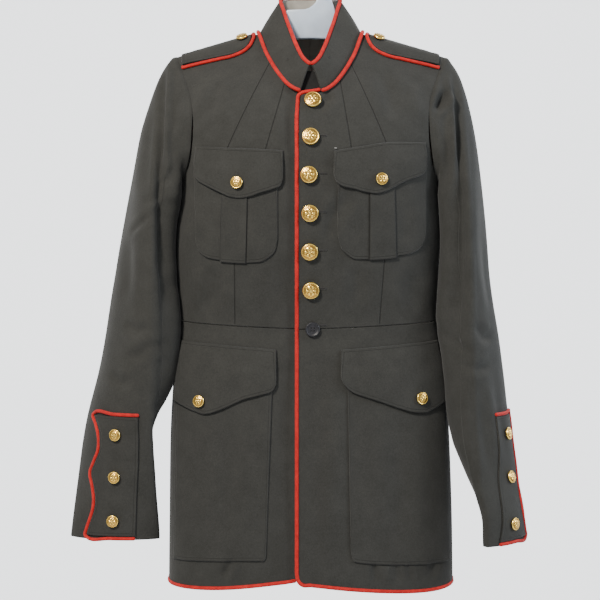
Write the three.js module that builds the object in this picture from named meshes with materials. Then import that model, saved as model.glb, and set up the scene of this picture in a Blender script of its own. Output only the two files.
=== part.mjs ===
// Dress jacket on a hanger. Millimetres, +Z up, the front faces -Y, +X is the wearer's left.
// Heights are measured from the hem, and the whole is then lowered so that the hanger hook's
// inner top lies at the origin.
import * as THREE from 'three';

// Driving sizes
const WALL = 2.2;
const SEAM = 0.4;
const LAYER = 1.5;
const ARMPIT = 566;
const SHOULDER = 801;
const RIDGE = SHOULDER - 0.015;
const SHOULDER_SLOPE = 0.3;
const NECK_HALF_WIDTH = 76;
const WAIST_FRONT = 363;
const WAIST_SIDE = 377;
const FRONT_EDGE = -17;
const UNDERLAP = 5;
const LAP_RAMP = [28, 50];
const LEAD = [27, 51];
const HEM_DIP = 9;
const SIDE_DROP = 3;
const BACK_NECK_RISE = 34;
const BACK_NECK_LEVEL = 772;
const COLLAR_ROWS = 2;
const PIPING = 2.2;
const FINE_PIPING = 1.8;
const PIPING_SIDES = 5;
const CAP_END = 520;
const ARMPIT_SLACK = 3;
const SLEEVE_FALL = 15;
const CUFF = 60;
const HOOK_RADIUS = 22;
const HOOK_ROD = 3.5;
const HOOK_CENTRE = 888;
const HANGER_THICK = 10;
const NECK_TOP = 866;
const WIDEST_STEP = 18;
const PATCH = 1.8;
const PATCH_LIFT = 0.7;
const FLAP_LIFT = 1.3;
const PLEAT = 1.6;
const FLAP_FOOT = 4.8;
const STRAP_MIDDLE = -10;
const STRAP_LIFT = 1.3;
const SLASH_GIRTH = 62;
const HEM_CORNER = 13;
const SLASH_LIFT = 0.9;
const HANGER_DROP = 4.2;

// Finishes
const finish = (color, roughness, metalness = 0) => ({ color, roughness, metalness });
const CLOTH = finish(0x2b2c2c, 0.95);
const CLOTH_UNDER = finish(0x242526, 0.95);
const RED = finish(0xc63018, 0.8);
const GOLD = finish(0xb8912f, 0.3, 1);
const DARK_BUTTON = finish(0x16161a, 0.35);
const PLASTIC = finish(0xb9c6d6, 0.4);

// Sections of the body: the half width, the shift of its middle to the wearer's left, the depth
// before and behind the shoulder line, and the squareness of the outline
const SECTIONS = [
  { level: 0, half: 209, shift: 0, front: 92, back: 84, square: 2.6 },
  { level: 100, half: 208, shift: 0, front: 91, back: 80, square: 2.6 },
  { level: 206, half: 206, shift: -1, front: 87, back: 74, square: 2.6 },
  { level: 263, half: 203, shift: -1.5, front: 84, back: 70, square: 2.6 },
  { level: 320, half: 198, shift: -2, front: 80, back: 66, square: 2.5 },
  { level: 372, half: 191, shift: -3, front: 77, back: 62, square: 2.4 },
  { level: 437, half: 194, shift: -5, front: 87, back: 68, square: 2.4 },
  { level: 500, half: 196, shift: -4, front: 97, back: 77, square: 2.4 },
  { level: 560, half: 192, shift: -2, front: 103, back: 84, square: 2.4 },
  { level: 620, half: 198, shift: 0, front: 103, back: 87, square: 2.4 },
  { level: 660, half: 204, shift: 0, front: 96, back: 81, square: 2.4 },
  { level: 690, half: 208, shift: 0, front: 84, back: 73, square: 2.4 },
  { level: 715, half: 212, shift: 0, front: 70, back: 63, square: 2.4 },
  { level: 735, half: 215, shift: 0, front: 56, back: 53, square: 2.4 },
  { level: 755, half: 218, shift: 0, front: 42, back: 41, square: 2.4 },
  { level: 772, half: 220, shift: 0, front: 30, back: 30, square: 2.4 },
  { level: 785, half: 221, shift: 0, front: 22, back: 22, square: 2.4 },
  { level: 795, half: 222, shift: 0, front: 13, back: 13, square: 2.4 },
  { level: 799, half: 222, shift: 0, front: 6, back: 6, square: 2.4 },
  { level: SHOULDER, half: 222, shift: 0, front: 0, back: 0, square: 2.4 },
];

// Armhole from the shoulder tip down to the armpit: distance from the middle, before and behind
const ARMHOLE = [
  { level: 801, front: 197.5, back: 197.5 },
  { level: 797.5, front: 196.5, back: 196.5 },
  { level: 788, front: 193.5, back: 194 },
  { level: 768, front: 187.5, back: 190 },
  { level: 740, front: 180, back: 184 },
  { level: 708, front: 173, back: 179.5 },
  { level: 675, front: 169.5, back: 177 },
  { level: 643, front: 169, back: 177 },
  { level: 612, front: 173, back: 179.5 },
  { level: 587, front: 181, back: 184.5 },
  { level: ARMPIT, front: null, back: null },
];

// Neckline from the front opening round to the shoulder, and from the shoulder to the middle back
const NECK_FRONT = [
  { x: 15.5, level: 700, top: [2.5, -78, 738] },
  { x: 24, level: 704, top: [9, -75, 743] },
  { x: 33, level: 711, top: [15, -69, 751] },
  { x: 47, level: 730, top: [24, -54, 772] },
  { x: 57, level: 748, top: [31, -38, 793] },
  { x: 64, level: 763, top: [37, -23, 812] },
  { x: 71, level: 783, top: [42, -9, 830] },
  { x: 74.8, level: 796, top: [45.5, 1, 842] },
  { x: 76, level: SHOULDER, top: [47, 8, 848] },
];
const NECK_BACK = [
  { x: 73.5, level: 796.5, top: [46, 16, 851] },
  { x: 67, level: 789.5, top: [42, 22, 854] },
  { x: 56, level: 782, top: [35, 27, 855.5] },
  { x: 40, level: 776, top: [25, 30, 856.5] },
  { x: 20, level: 772.8, top: [12, 32, 857] },
  { x: 0, level: BACK_NECK_LEVEL, top: [0, 32.5, 857] },
];

// Levels of the panel rows on the inner edge (front edge or middle back) and at the side seam
const SKIRT_ROWS = [
  { edge: 0, side: 0 },
  { edge: 45, side: 45 },
  { edge: 95, side: 95 },
  { edge: 150, side: 150 },
  { edge: 205, side: 205 },
  { edge: 258, side: 262 },
  { edge: 310, side: 318 },
];
const CORNER_ROWS = [
  { edge: 4, side: 4 },
  { edge: 13, side: 13 },
];
const CHEST_ROWS = [
  { edge: 405, side: 410 },
  { edge: 450, side: 447 },
  { edge: 498, side: 483 },
  { edge: 542, side: 513 },
  { edge: 580, side: 538 },
  { edge: 614, side: 554 },
];

// Sleeve sections: how far out and back the middle lies, half the long and the short way,
// and the turn of the long way from straight forward towards the body
const SLEEVE_RIGHT = [
  { level: 520, out: 240, back: 0, long: 76, short: 33, turn: 20 },
  { level: 450, out: 247, back: -4, long: 74, short: 35, turn: 28 },
  { level: 405, out: 252, back: -8, long: 72, short: 36, turn: 34 },
  { level: 350, out: 257, back: -14, long: 70, short: 36, turn: 42 },
  { level: 300, out: 263, back: -20, long: 68, short: 34, turn: 50 },
  { level: 230, out: 280, back: -25, long: 64, short: 28, turn: 54 },
  { level: 150, out: 285, back: -28, long: 62, short: 25, turn: 68 },
  { level: CUFF, out: 287, back: -30, long: 64, short: 23, turn: 84 },
];
const SLEEVE_LEFT = [
  { level: 520, out: 228, back: 0, long: 74, short: 29, turn: 18 },
  { level: 450, out: 229, back: -5, long: 72, short: 30, turn: 25 },
  { level: 405, out: 234, back: -10, long: 70, short: 30, turn: 27 },
  { level: 350, out: 241, back: -16, long: 70, short: 30, turn: 30 },
  { level: 300, out: 244, back: -24, long: 70, short: 30, turn: 34 },
  { level: 236, out: 248, back: -34, long: 70, short: 30, turn: 37 },
  { level: 160, out: 261, back: -42, long: 67, short: 26, turn: 38 },
  { level: 100, out: 277, back: -46, long: 65, short: 24, turn: 32 },
  { level: CUFF, out: 280, back: -48, long: 64, short: 23, turn: 33 },
];
const SLEEVE_ROWS = [520, 478, 436, 394, 352, 310, 268, 226, 186, 150, 105, CUFF];
const CAP_STEPS = 5;
const RING_STEPS = 20;
const FRONT_SEAM_STEP = 6;
const BACK_SEAM_STEP = -5;

// Pieces laid on the fronts, a row for each column from the inner edge outward: x at the top and,
// where it differs, at the foot, the levels of both, and 1 where the box pleat stands out
const CHEST_POCKET_RIGHT = [
  { x: 46.5, top: 574, foot: 492 },
  { x: 50, top: 573, foot: 475 },
  { x: 59, top: 572, foot: 465 },
  { x: 73, top: 570, foot: 458 },
  { x: 86.5, foot_x: 90, top: 566, foot: 457 },
  { x: 89, foot_x: 92.5, top: 566, foot: 456.5, pleat: 1 },
  { x: 106, foot_x: 110, top: 562, foot: 457.5, pleat: 1 },
  { x: 123, foot_x: 127, top: 566, foot: 459.5, pleat: 1 },
  { x: 125.5, foot_x: 129.5, top: 568, foot: 461 },
  { x: 147, top: 575, foot: 465 },
  { x: 160, top: 582, foot: 476 },
  { x: 165, top: 586, foot: 493 },
];
const CHEST_POCKET_LEFT = [
  { x: 37.5, top: 576, foot: 497 },
  { x: 42, top: 575, foot: 479 },
  { x: 53, top: 572, foot: 467 },
  { x: 64, top: 570, foot: 462 },
  { x: 80.5, foot_x: 81, top: 566, foot: 462 },
  { x: 83, foot_x: 83.5, top: 566, foot: 461.5, pleat: 1 },
  { x: 99, foot_x: 101.5, top: 567, foot: 462.5, pleat: 1 },
  { x: 116, foot_x: 120, top: 574, foot: 465.5, pleat: 1 },
  { x: 118.5, foot_x: 122.5, top: 576, foot: 467 },
  { x: 138, top: 587, foot: 470 },
  { x: 155, top: 596, foot: 479 },
  { x: 164, top: 606, foot: 496 },
];
const CHEST_FLAP_RIGHT = [
  { x: 38.7, top: 613.8, foot: 575 },
  { x: 43, top: 614.2, foot: 564 },
  { x: 55, top: 615.3, foot: 559 },
  { x: 72, top: 616.5, foot: 554 },
  { x: 87, top: 617.5, foot: 549 },
  { x: 99, top: 618.3, foot: 547.5 },
  { x: 112, top: 619, foot: 549.5 },
  { x: 127, top: 620.5, foot: 556.5 },
  { x: 145, top: 622.5, foot: 566 },
  { x: 158, top: 624, foot: 574 },
  { x: 164, top: 625, foot: 581 },
];
const CHEST_FLAP_LEFT = [
  { x: 31.5, top: 613.7, foot: 580 },
  { x: 36, top: 614.5, foot: 569 },
  { x: 45, top: 616, foot: 563 },
  { x: 60, top: 618.7, foot: 560 },
  { x: 77, top: 621.5, foot: 555.5 },
  { x: 90, top: 624, foot: 554 },
  { x: 101, top: 626, foot: 556.6 },
  { x: 117, top: 627.5, foot: 564.5 },
  { x: 130, top: 628, foot: 572 },
  { x: 149, top: 628.8, foot: 580 },
  { x: 158, top: 629.2, foot: 586 },
  { x: 162.5, top: 629.5, foot: 597 },
];
const SKIRT_POCKET_RIGHT = [
  { x: 54, foot_x: 63, top: 286, foot: 47 },
  { x: 58, foot_x: 67, top: 285, foot: 42 },
  { x: 93, foot_x: 100, top: 277, foot: 43 },
  { x: 126, foot_x: 132, top: 263, foot: 42 },
  { x: 151, foot_x: 155, top: 256, foot: 41 },
  { x: 176, foot_x: 180, top: 263, foot: 38 },
  { x: 193, foot_x: 198, top: 270, foot: 35 },
];
const SKIRT_POCKET_LEFT = [
  { x: 52, foot_x: 56, top: 290, foot: 56 },
  { x: 55, foot_x: 61, top: 287, foot: 41 },
  { x: 98, foot_x: 104, top: 273, foot: 38 },
  { x: 130, foot_x: 135, top: 263, foot: 37 },
  { x: 160, foot_x: 164, top: 257, foot: 36 },
  { x: 180, foot_x: 184, top: 264, foot: 35 },
  { x: 193, foot_x: 200, top: 272, foot: 33 },
];
const SKIRT_FLAP_RIGHT = [
  { x: 48.5, top: 334, foot: 286 },
  { x: 55, top: 335, foot: 275 },
  { x: 74, top: 337, foot: 269 },
  { x: 93, top: 338, foot: 264 },
  { x: 126, top: 341, foot: 249 },
  { x: 143, top: 342.5, foot: 243 },
  { x: 151, top: 343, foot: 242 },
  { x: 166, top: 344.5, foot: 246 },
  { x: 178, foot_x: 183, top: 345.8, foot: 253.5 },
  { x: 187, foot_x: 196, top: 346.5, foot: 260.5 },
];
const SKIRT_FLAP_LEFT = [
  { x: 42.3, top: 334, foot: 296 },
  { x: 45, top: 334.5, foot: 288 },
  { x: 51, top: 335, foot: 280 },
  { x: 59, top: 335.5, foot: 273.5 },
  { x: 80, top: 337, foot: 266 },
  { x: 98, top: 338.5, foot: 260 },
  { x: 126, top: 341, foot: 250 },
  { x: 146, top: 343, foot: 244.5 },
  { x: 160, top: 344, foot: 243.5 },
  { x: 172, foot_x: 177, top: 345.5, foot: 249.5 },
  { x: 184, foot_x: 194, top: 347, foot: 260 },
];

// Shoulder strap from its point near the collar to the sleeve: its edges before and behind the ridge
const STRAP = [
  { x: 87, front: -15, back: -3 },
  { x: 89.5, front: -20.5, back: 3 },
  { x: 95, front: -24, back: 7 },
  { x: 110, front: -26, back: 11 },
  { x: 135, front: -23.5, back: 17 },
  { x: 162, front: -19.5, back: 23 },
  { x: 190, front: -14.5, back: 28 },
];

// Cuff slashes: degrees round the sleeve's ring of their straight edge and of their scalloped edge
const SLASH_RIGHT = [
  { level: 238, edge: 55, outer: -22 },
  { level: 225, edge: 55, outer: -13 },
  { level: 211, edge: 55, outer: -7.5 },
  { level: 192, edge: 53, outer: -7 },
  { level: 169, edge: 50, outer: -17.5 },
  { level: 154, edge: 47.5, outer: -24 },
  { level: 137, edge: 45, outer: -19.5 },
  { level: 118, edge: 42, outer: -17 },
  { level: 103, edge: 40, outer: -19 },
  { level: 88, edge: 38, outer: -24.5 },
  { level: 74, edge: 36, outer: -30 },
  { level: 65, edge: 35, outer: -32.5 },
];
const SLASH_LEFT = [
  { level: 238, edge: 20, outer: -44 },
  { level: 225, edge: 19.5, outer: -37 },
  { level: 211, edge: 19, outer: -31 },
  { level: 192, edge: 19, outer: -27 },
  { level: 169, edge: 23, outer: -25 },
  { level: 154, edge: 28, outer: -20.5 },
  { level: 137, edge: 34, outer: -14 },
  { level: 118, edge: 39.5, outer: -9 },
  { level: 103, edge: 43.5, outer: -7 },
  { level: 88, edge: 47, outer: -9 },
  { level: 74, edge: 50, outer: -14 },
  { level: 65, edge: 52, outer: -19 },
];

// Buttons: place, and the distance that their shank lifts them from the skin
const FRONT_BUTTONS = [
  { x: 2.6, level: 686 },
  { x: -0.6, level: 633 },
  { x: -3, level: 580 },
  { x: -1.5, level: 526.5 },
  { x: -1.9, level: 473 },
  { x: 0, level: 419 },
];
const WAIST_BUTTON = { x: 2.5, level: 363 };
const FLAP_BUTTONS = [
  { name: 'button_chest_right', x: -102, level: 570, lift: 7 },
  { name: 'button_chest_left', x: 97, level: 575, lift: 7 },
  { name: 'button_skirt_right', x: -156.4, level: 260.5, lift: 7 },
  { name: 'button_skirt_left', x: 155.3, level: 264.5, lift: 7 },
];
const CUFF_BUTTONS = [
  { level: 212, right: 20, left: -7 },
  { level: 151, right: 14, left: 3.5 },
  { level: 88, right: 7, left: 22 },
];

// Hanger outline inside the collar, right of the middle; further out it follows the shoulder
const HANGER_CROWN = [
  { x: 0, top: 835, foot: 792 },
  { x: 34, top: 834.5, foot: 791 },
  { x: 46, top: 823, foot: 787 },
  { x: 58, top: 808, foot: 782 },
  { x: 68, top: 797, foot: 777 },
];
const HANGER_ARM = [
  { x: 80, foot: 771 },
  { x: 110, foot: 758 },
  { x: 145, foot: 745 },
  { x: 172, foot: 738 },
  { x: 182, foot: 748 },
];

// Button outlines: distance from the axis and height
const LARGE_BUTTON = [[0, 0], [3, 0], [3, 2.2], [12.1, 3], [12, 4.3], [10.6, 4.7], [7, 6.3], [0, 7.4]];
const SMALL_BUTTON = [[0, 0], [2.4, 0], [2.4, 1.6], [8.7, 2.2], [8.2, 3.4], [0, 5.3]];
const FLAT_BUTTON = [[0, 0], [3, 0], [3, 1.6], [10.4, 1.8], [10.4, 4], [9, 4.7], [7, 3.6], [0, 3.6]];

// Value of every column of a table at a level, on a smooth curve through its rows
function smooth_row(table, level) {
  const rising = table[1].level > table[0].level;
  const rows = rising ? table : [...table].reverse();
  let i = 0;
  while (i < rows.length - 2 && level > rows[i + 1].level) i += 1;
  const a = rows[i];
  const b = rows[i + 1];
  const before = rows[Math.max(0, i - 1)];
  const after = rows[Math.min(rows.length - 1, i + 2)];
  const span = b.level - a.level;
  const t = Math.min(1, Math.max(0, (level - a.level) / span));
  const result = {};
  for (const key of Object.keys(a)) {
    const slope_a = (b[key] - before[key]) / (b.level - before.level) * span;
    const slope_b = (after[key] - a[key]) / (after.level - a.level) * span;
    const value = (2 * t ** 3 - 3 * t ** 2 + 1) * a[key] + (t ** 3 - 2 * t ** 2 + t) * slope_a
      + (3 * t ** 2 - 2 * t ** 3) * b[key] + (t ** 3 - t ** 2) * slope_b;
    result[key] = value;
  }
  return result;
}

const smoothstep = THREE.MathUtils.smoothstep;
const lerp = THREE.MathUtils.lerp;
const degrees = Math.PI / 180;
const signed_power = (value, power) => Math.sign(value) * Math.abs(value) ** power;

// The body's section at a level, with depths blended as squares so that the shoulder is round
const SQUARED = SECTIONS.map((row) => ({ ...row, front: row.front ** 2, back: row.back ** 2 }));
function section(level) {
  const row = smooth_row(SQUARED, level);
  row.front = Math.sqrt(Math.max(0, row.front));
  row.back = Math.sqrt(Math.max(0, row.back));
  return row;
}

// Turn from the front middle at which the skin has this x at this level
function turn_at(x, level) {
  const row = section(level);
  const share = Math.min(1, Math.abs(x - row.shift) / row.half);
  return Math.sign(x - row.shift) * Math.asin(share ** (row.square / 2));
}

// The turn that keeps half a seam clear of the side, before it
function side_turn(level) {
  const row = section(level);
  return Math.acos((SEAM / 2 / row.front) ** (row.square / 2));
}

function back_side_turn(level) {
  const row = section(level);
  return Math.acos((SEAM / 2 / row.back) ** (row.square / 2));
}

function hem_dip(turn, level) {
  const share = Math.min(1, Math.abs(turn) / (Math.PI / 2));
  const fade = 1 - smoothstep(level, 0, 160);
  return share < 1 ? -HEM_DIP * Math.sin(Math.PI * share ** 0.75) * fade : 0;
}

function back_rise(x, level) {
  const across = 1 - smoothstep(Math.abs(x), 20, 105);
  const above = Math.max(0, (level - BACK_NECK_LEVEL) / (SHOULDER - BACK_NECK_LEVEL));
  return BACK_NECK_RISE * across * smoothstep(level, 690, BACK_NECK_LEVEL) * (1 - above ** 2);
}

// A point of the body's skin: turn 0 is the front middle, 90 degrees the left side, 180 the back
function skin_point(turn, level) {
  const row = section(level);
  const behind = Math.cos(turn) < 0;
  const depth = behind ? row.back : row.front;
  const power = 2 / row.square;
  const x = row.shift + row.half * signed_power(Math.sin(turn), power);
  const y = -depth * signed_power(Math.cos(turn), power);
  const past = Math.abs(x) - NECK_HALF_WIDTH;
  const drop = SHOULDER_SLOPE * (past + Math.hypot(past, 15)) / 2 * smoothstep(level, 620, SHOULDER);
  const rise = behind ? back_rise(x, level) : hem_dip(turn, level);
  return new THREE.Vector3(x, y, level - drop + rise);
}

function normal_of(surface, u, v, du, dv) {
  const across = surface(u + du, v).sub(surface(u - du, v));
  const along = surface(u, v + dv).sub(surface(u, v - dv));
  return across.cross(along).normalize();
}

function skin_normal(turn, level) {
  return normal_of(skin_point, turn, Math.min(level, RIDGE), 0.002, 0.01);
}

function skin(turn, level, out = 0) {
  const point = skin_point(turn, level);
  return out === 0 ? point : point.addScaledVector(skin_normal(turn, level), out);
}

// Solids
const jacket = new THREE.Group();

function add(name, geometry, look) {
  const material = new THREE.MeshStandardMaterial(look);
  const mesh = new THREE.Mesh(geometry, material);
  mesh.name = name;
  jacket.add(mesh);
  return mesh;
}

// A closed wall from a grid of outer points and a grid of inner points
function wall(name, look, columns, rows, place) {
  const outer = [];
  const inner = [];
  for (let j = 0; j <= rows; j += 1) {
    for (let i = 0; i <= columns; i += 1) {
      const [out, back] = place(i, j);
      outer.push(out);
      inner.push(back);
    }
  }
  const positions = [...outer, ...inner].flatMap((point) => point.toArray());
  const count = outer.length;
  const at = (i, j) => j * (columns + 1) + i;
  const faces = [];
  const quad = (a, b, c, d) => faces.push(a, b, c, a, c, d);
  for (let j = 0; j < rows; j += 1) {
    for (let i = 0; i < columns; i += 1) {
      const corners = [at(i, j), at(i + 1, j), at(i + 1, j + 1), at(i, j + 1)];
      quad(...corners);
      quad(...corners.map((corner) => corner + count).reverse());
    }
  }
  const rim = (a, b) => quad(a, a + count, b + count, b);
  for (let i = 0; i < columns; i += 1) {
    rim(at(i, 0), at(i + 1, 0));
    rim(at(i + 1, rows), at(i, rows));
  }
  for (let j = 0; j < rows; j += 1) {
    rim(at(columns, j), at(columns, j + 1));
    rim(at(0, j + 1), at(0, j));
  }
  if (enclosed(positions, faces) < 0) faces.reverse();
  const geometry = new THREE.BufferGeometry();
  geometry.setAttribute('position', new THREE.Float32BufferAttribute(positions, 3));
  geometry.setIndex(faces);
  geometry.computeVertexNormals();
  return add(name, geometry, look);
}

function enclosed(positions, faces) {
  const corner = (index) => new THREE.Vector3().fromArray(positions, index * 3);
  let volume = 0;
  for (let f = 0; f < faces.length; f += 3) {
    const a = corner(faces[f]);
    volume += a.dot(corner(faces[f + 1]).cross(corner(faces[f + 2])));
  }
  return volume;
}

// A cloth panel on the body between two edges, each a list of { turn, level }. The lead is the
// distance of its first columns from the left edge, and the rest are spread evenly by turn.
function panel(name, look, left, right, columns, lead = [], lift = () => 0) {
  wall(name, look, columns, left.length - 1, (i, j) => {
    const from = left[j];
    const to = right[j];
    const start = skin_point(from.turn, from.level).x;
    const lead_turn = (k) => turn_at(start + lead[k] * Math.sign(to.turn), from.level);
    const first = lead.length === 0 ? from.turn : lead_turn(lead.length - 1);
    const rest = Math.max(0, (i - lead.length) / (columns - lead.length));
    let turn = lerp(first, to.turn, rest);
    if (i < lead.length) turn = i === 0 ? from.turn : lead_turn(i - 1);
    const share = (turn - from.turn) / (to.turn - from.turn);
    const level = lerp(from.level, to.level, share);
    const out = lift(turn, level);
    return [skin(turn, level, out), skin(turn, level, out - WALL)];
  });
}

// Cord of an even section along points, as the piping is, with the same steps between all points
function piping(name, points, radius, steps_each = 1) {
  const outline = new THREE.Shape();
  for (let k = 0; k < PIPING_SIDES; k += 1) {
    const angle = k * 2 * Math.PI / PIPING_SIDES;
    const x = radius * Math.cos(angle);
    const y = radius * Math.sin(angle);
    if (k === 0) outline.moveTo(x, y);
    else outline.lineTo(x, y);
  }
  outline.closePath();
  const path = new THREE.CatmullRomCurve3(points, false, 'centripetal');
  path.getUtoTmapping = (share) => share;
  const steps = steps_each * (points.length - 1);
  return add(name, new THREE.ExtrudeGeometry(outline, { extrudePath: path, steps }), RED);
}

// Body panels
const edge_point = (x, level) => ({ turn: turn_at(x, level), level });

// Lowers the wearer's right front where the left one laps over it
function lap(turn, level) {
  const x = skin_point(turn, level).x;
  return -(WALL + LAYER) * smoothstep(x, -LAP_RAMP[1], -LAP_RAMP[0]);
}

function front_skirt(side) {
  const inner = side > 0 ? FRONT_EDGE : UNDERLAP;
  const hem = side > 0 ? 5 : 13;
  const top = { edge: WAIST_FRONT - SEAM / 2, side: WAIST_SIDE - SEAM / 2 };
  const rows = [SKIRT_ROWS[0], ...CORNER_ROWS, ...SKIRT_ROWS.slice(1), top];
  const left = rows.map((row) => {
    const level = row.edge + hem * (1 - smoothstep(row.edge, 0, 160));
    const below = Math.max(0, 1 - row.edge / HEM_CORNER);
    const corner = side > 0 ? HEM_CORNER * (1 - Math.sqrt(1 - below ** 2)) : 0;
    return edge_point(inner + corner, level);
  });
  const right = rows.map((row) => {
    const drop = row.side === 0 ? SIDE_DROP : 0;
    return { turn: side * side_turn(row.side), level: row.side - drop };
  });
  const name = side > 0 ? 'front_skirt_left' : 'front_skirt_right';
  panel(name, CLOTH, left, right, 12, LEAD, side > 0 ? undefined : lap);
}

function armhole_turn(row, side, x) {
  if (x === null) return side * side_turn(row.level);
  return turn_at(side * x + section(row.level).shift, row.level);
}

function front_upper(side) {
  const inner = side > 0 ? FRONT_EDGE : UNDERLAP;
  const left = [edge_point(inner, WAIST_FRONT + SEAM / 2)];
  const right = [{ turn: side * side_turn(WAIST_SIDE), level: WAIST_SIDE + SEAM / 2 }];
  for (const row of CHEST_ROWS) {
    left.push(edge_point(inner, row.edge));
    right.push({ turn: side * side_turn(row.side), level: row.side });
  }
  const corner = side > 0 ? [[FRONT_EDGE, 648], [FRONT_EDGE + 3, 695]] : [[UNDERLAP, 648], [UNDERLAP, 690]];
  const neck = NECK_FRONT.map((row) => [side * row.x, row.level]);
  const inner_edge = [...corner, ...neck];
  const armhole = [...ARMHOLE].reverse();
  for (let k = 0; k < armhole.length; k += 1) {
    const [x, level] = inner_edge[k];
    left.push(edge_point(x, level));
    right.push({ turn: armhole_turn(armhole[k], side, armhole[k].front), level: armhole[k].level });
  }
  const last = left.length - 1;
  left[last].level = RIDGE;
  right[last].level = RIDGE;
  const name = side > 0 ? 'front_upper_left' : 'front_upper_right';
  panel(name, CLOTH, left, right, 12, LEAD, side > 0 ? undefined : lap);
}

front_skirt(1);
front_skirt(-1);
front_upper(1);
front_upper(-1);

// Back panels, with a seam down the middle
const middle_back = (side, level) => {
  const gap = side * SEAM / 2;
  return Math.sign(side) * Math.PI - turn_at(gap + section(level).shift, level);
};
const behind = (turn, side) => side * Math.PI - turn;

function back_panel(side) {
  const left = [];
  const right = [];
  const side_seam = (level) => ({ turn: behind(side * back_side_turn(level), side), level });
  for (const row of [...SKIRT_ROWS, { edge: 365, side: 365 }, ...CHEST_ROWS]) {
    const drop = row.side === 0 ? SIDE_DROP : 0;
    left.push({ turn: middle_back(side, row.edge), level: row.edge - drop });
    right.push({ ...side_seam(row.side), level: row.side - drop });
  }
  const neck = [...NECK_BACK].reverse();
  const inner_edge = [[0, 648], [0, 685], [0, 720], [0, 748]];
  for (const row of neck) inner_edge.push([side * row.x, row.level]);
  inner_edge.push([side * NECK_HALF_WIDTH, SHOULDER]);
  const armhole = [...ARMHOLE].reverse();
  for (let k = 0; k < armhole.length; k += 1) {
    const [x, level] = inner_edge[k];
    const row = armhole[k];
    const turn = x === 0 ? middle_back(side, level) : behind(turn_at(x, level), side);
    left.push({ turn, level });
    if (row.back === null) right.push(side_seam(row.level));
    else right.push({ turn: behind(armhole_turn(row, side, row.back), side), level: row.level });
  }
  const last = left.length - 1;
  left[last].level = RIDGE;
  right[last].level = RIDGE;
  panel(side > 0 ? 'back_left' : 'back_right', CLOTH, left, right, 9);
}

back_panel(1);
back_panel(-1);

// Sleeves. Step 0 of the ring is the shoulder tip, 5 the front, 10 the armpit and -5 the back.
function armhole_point(side, step, out) {
  const row = ARMHOLE[Math.abs(step)];
  const level = Math.min(row.level, RIDGE);
  const before = step >= 0;
  const turn = armhole_turn(row, side, before ? row.front : row.back);
  return skin(before ? turn : behind(turn, side), level, out);
}

function sleeve_section(table, side, angle, level) {
  const row = smooth_row(table, level);
  const turn = row.turn * degrees;
  const reach = row.short * Math.cos(angle);
  const along = row.long * Math.sin(angle);
  const x = side * (row.out + reach * Math.cos(turn) - along * Math.sin(turn));
  const y = row.back - reach * Math.sin(turn) - along * Math.cos(turn);
  return new THREE.Vector3(x, y, level);
}

// Direction in which the sleeve leaves the armhole
function cap_start(side, angle) {
  const fall = SLEEVE_FALL * degrees;
  return new THREE.Vector3(side * Math.cos(fall), -0.3 * Math.sin(angle), -Math.sin(fall)).normalize();
}

function cap_point(table, side, step, share) {
  const angle = step * Math.PI * 2 / RING_STEPS;
  const start = armhole_point(side, step, 0);
  const end = sleeve_section(table, side, angle, CAP_END);
  const leave = cap_start(side, angle);
  const next = sleeve_section(table, side, angle, CAP_END - 1);
  const arrive = next.sub(end).normalize();
  start.addScaledVector(leave, SEAM + ARMPIT_SLACK * smoothstep(Math.abs(step), 6, 9));
  const reach = start.distanceTo(end);
  const t = share;
  const point = start.multiplyScalar(2 * t ** 3 - 3 * t ** 2 + 1);
  point.addScaledVector(leave, (t ** 3 - 2 * t ** 2 + t) * reach * 0.5);
  point.addScaledVector(end, 3 * t ** 2 - 2 * t ** 3);
  return point.addScaledVector(arrive, (t ** 3 - t ** 2) * reach * 0.85);
}

function sleeve(side) {
  const table = side > 0 ? SLEEVE_LEFT : SLEEVE_RIGHT;
  const half = RING_STEPS / 2;
  const rings = [];
  for (let row = 0; row < CAP_STEPS; row += 1) {
    const ring = [];
    for (let step = -half; step < half; step += 1) {
      ring.push(cap_point(table, side, step === -half ? half : step, row / CAP_STEPS));
    }
    rings.push(ring);
  }
  for (const level of SLEEVE_ROWS) {
    const ring = [];
    for (let step = -half; step < half; step += 1) {
      ring.push(sleeve_section(table, side, step * Math.PI * 2 / RING_STEPS, level));
    }
    rings.push(ring);
  }
  const outer = (row, step) => {
    const column = (step + half + RING_STEPS) % RING_STEPS;
    return rings[row][column].clone();
  };
  const normal = (row, step) => {
    const above = outer(Math.max(0, row - 1), step);
    const below = outer(Math.min(rings.length - 1, row + 1), step);
    const around = outer(row, step + 1).sub(outer(row, step - 1));
    return around.cross(below.sub(above)).normalize().multiplyScalar(side);
  };
  const place = (row, step) => {
    const out = normal(row, step);
    const low = Math.abs(step) > half ? RING_STEPS - Math.abs(step) : Math.abs(step);
    if (row === 0 && low < half) {
      const flat = armhole_point(side, step > half ? step - RING_STEPS : step, 1);
      flat.sub(armhole_point(side, step > half ? step - RING_STEPS : step, 0));
      out.lerp(flat, 1 - smoothstep(low, 3, 6)).normalize();
    }
    const point = outer(row, step);
    return [point, point.clone().addScaledVector(out, -WALL)];
  };
  const word = side > 0 ? 'left' : 'right';
  const piece = (name, look, first, last) => {
    wall(name, look, last - first, rings.length - 1, (i, j) => {
      const step = first + i;
      const [out, inner] = place(j, step);
      if (i > 0 && i < last - first) return [out, inner];
      const toward = place(j, i === 0 ? step + 1 : step - 1)[0].sub(out).setLength(SEAM / 2);
      return [out.add(toward), inner.add(toward)];
    });
  };
  piece(`top_sleeve_${word}`, CLOTH, BACK_SEAM_STEP, FRONT_SEAM_STEP);
  piece(`under_sleeve_${word}`, CLOTH_UNDER, FRONT_SEAM_STEP, BACK_SEAM_STEP + RING_STEPS);
}

sleeve(1);
sleeve(-1);

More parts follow.
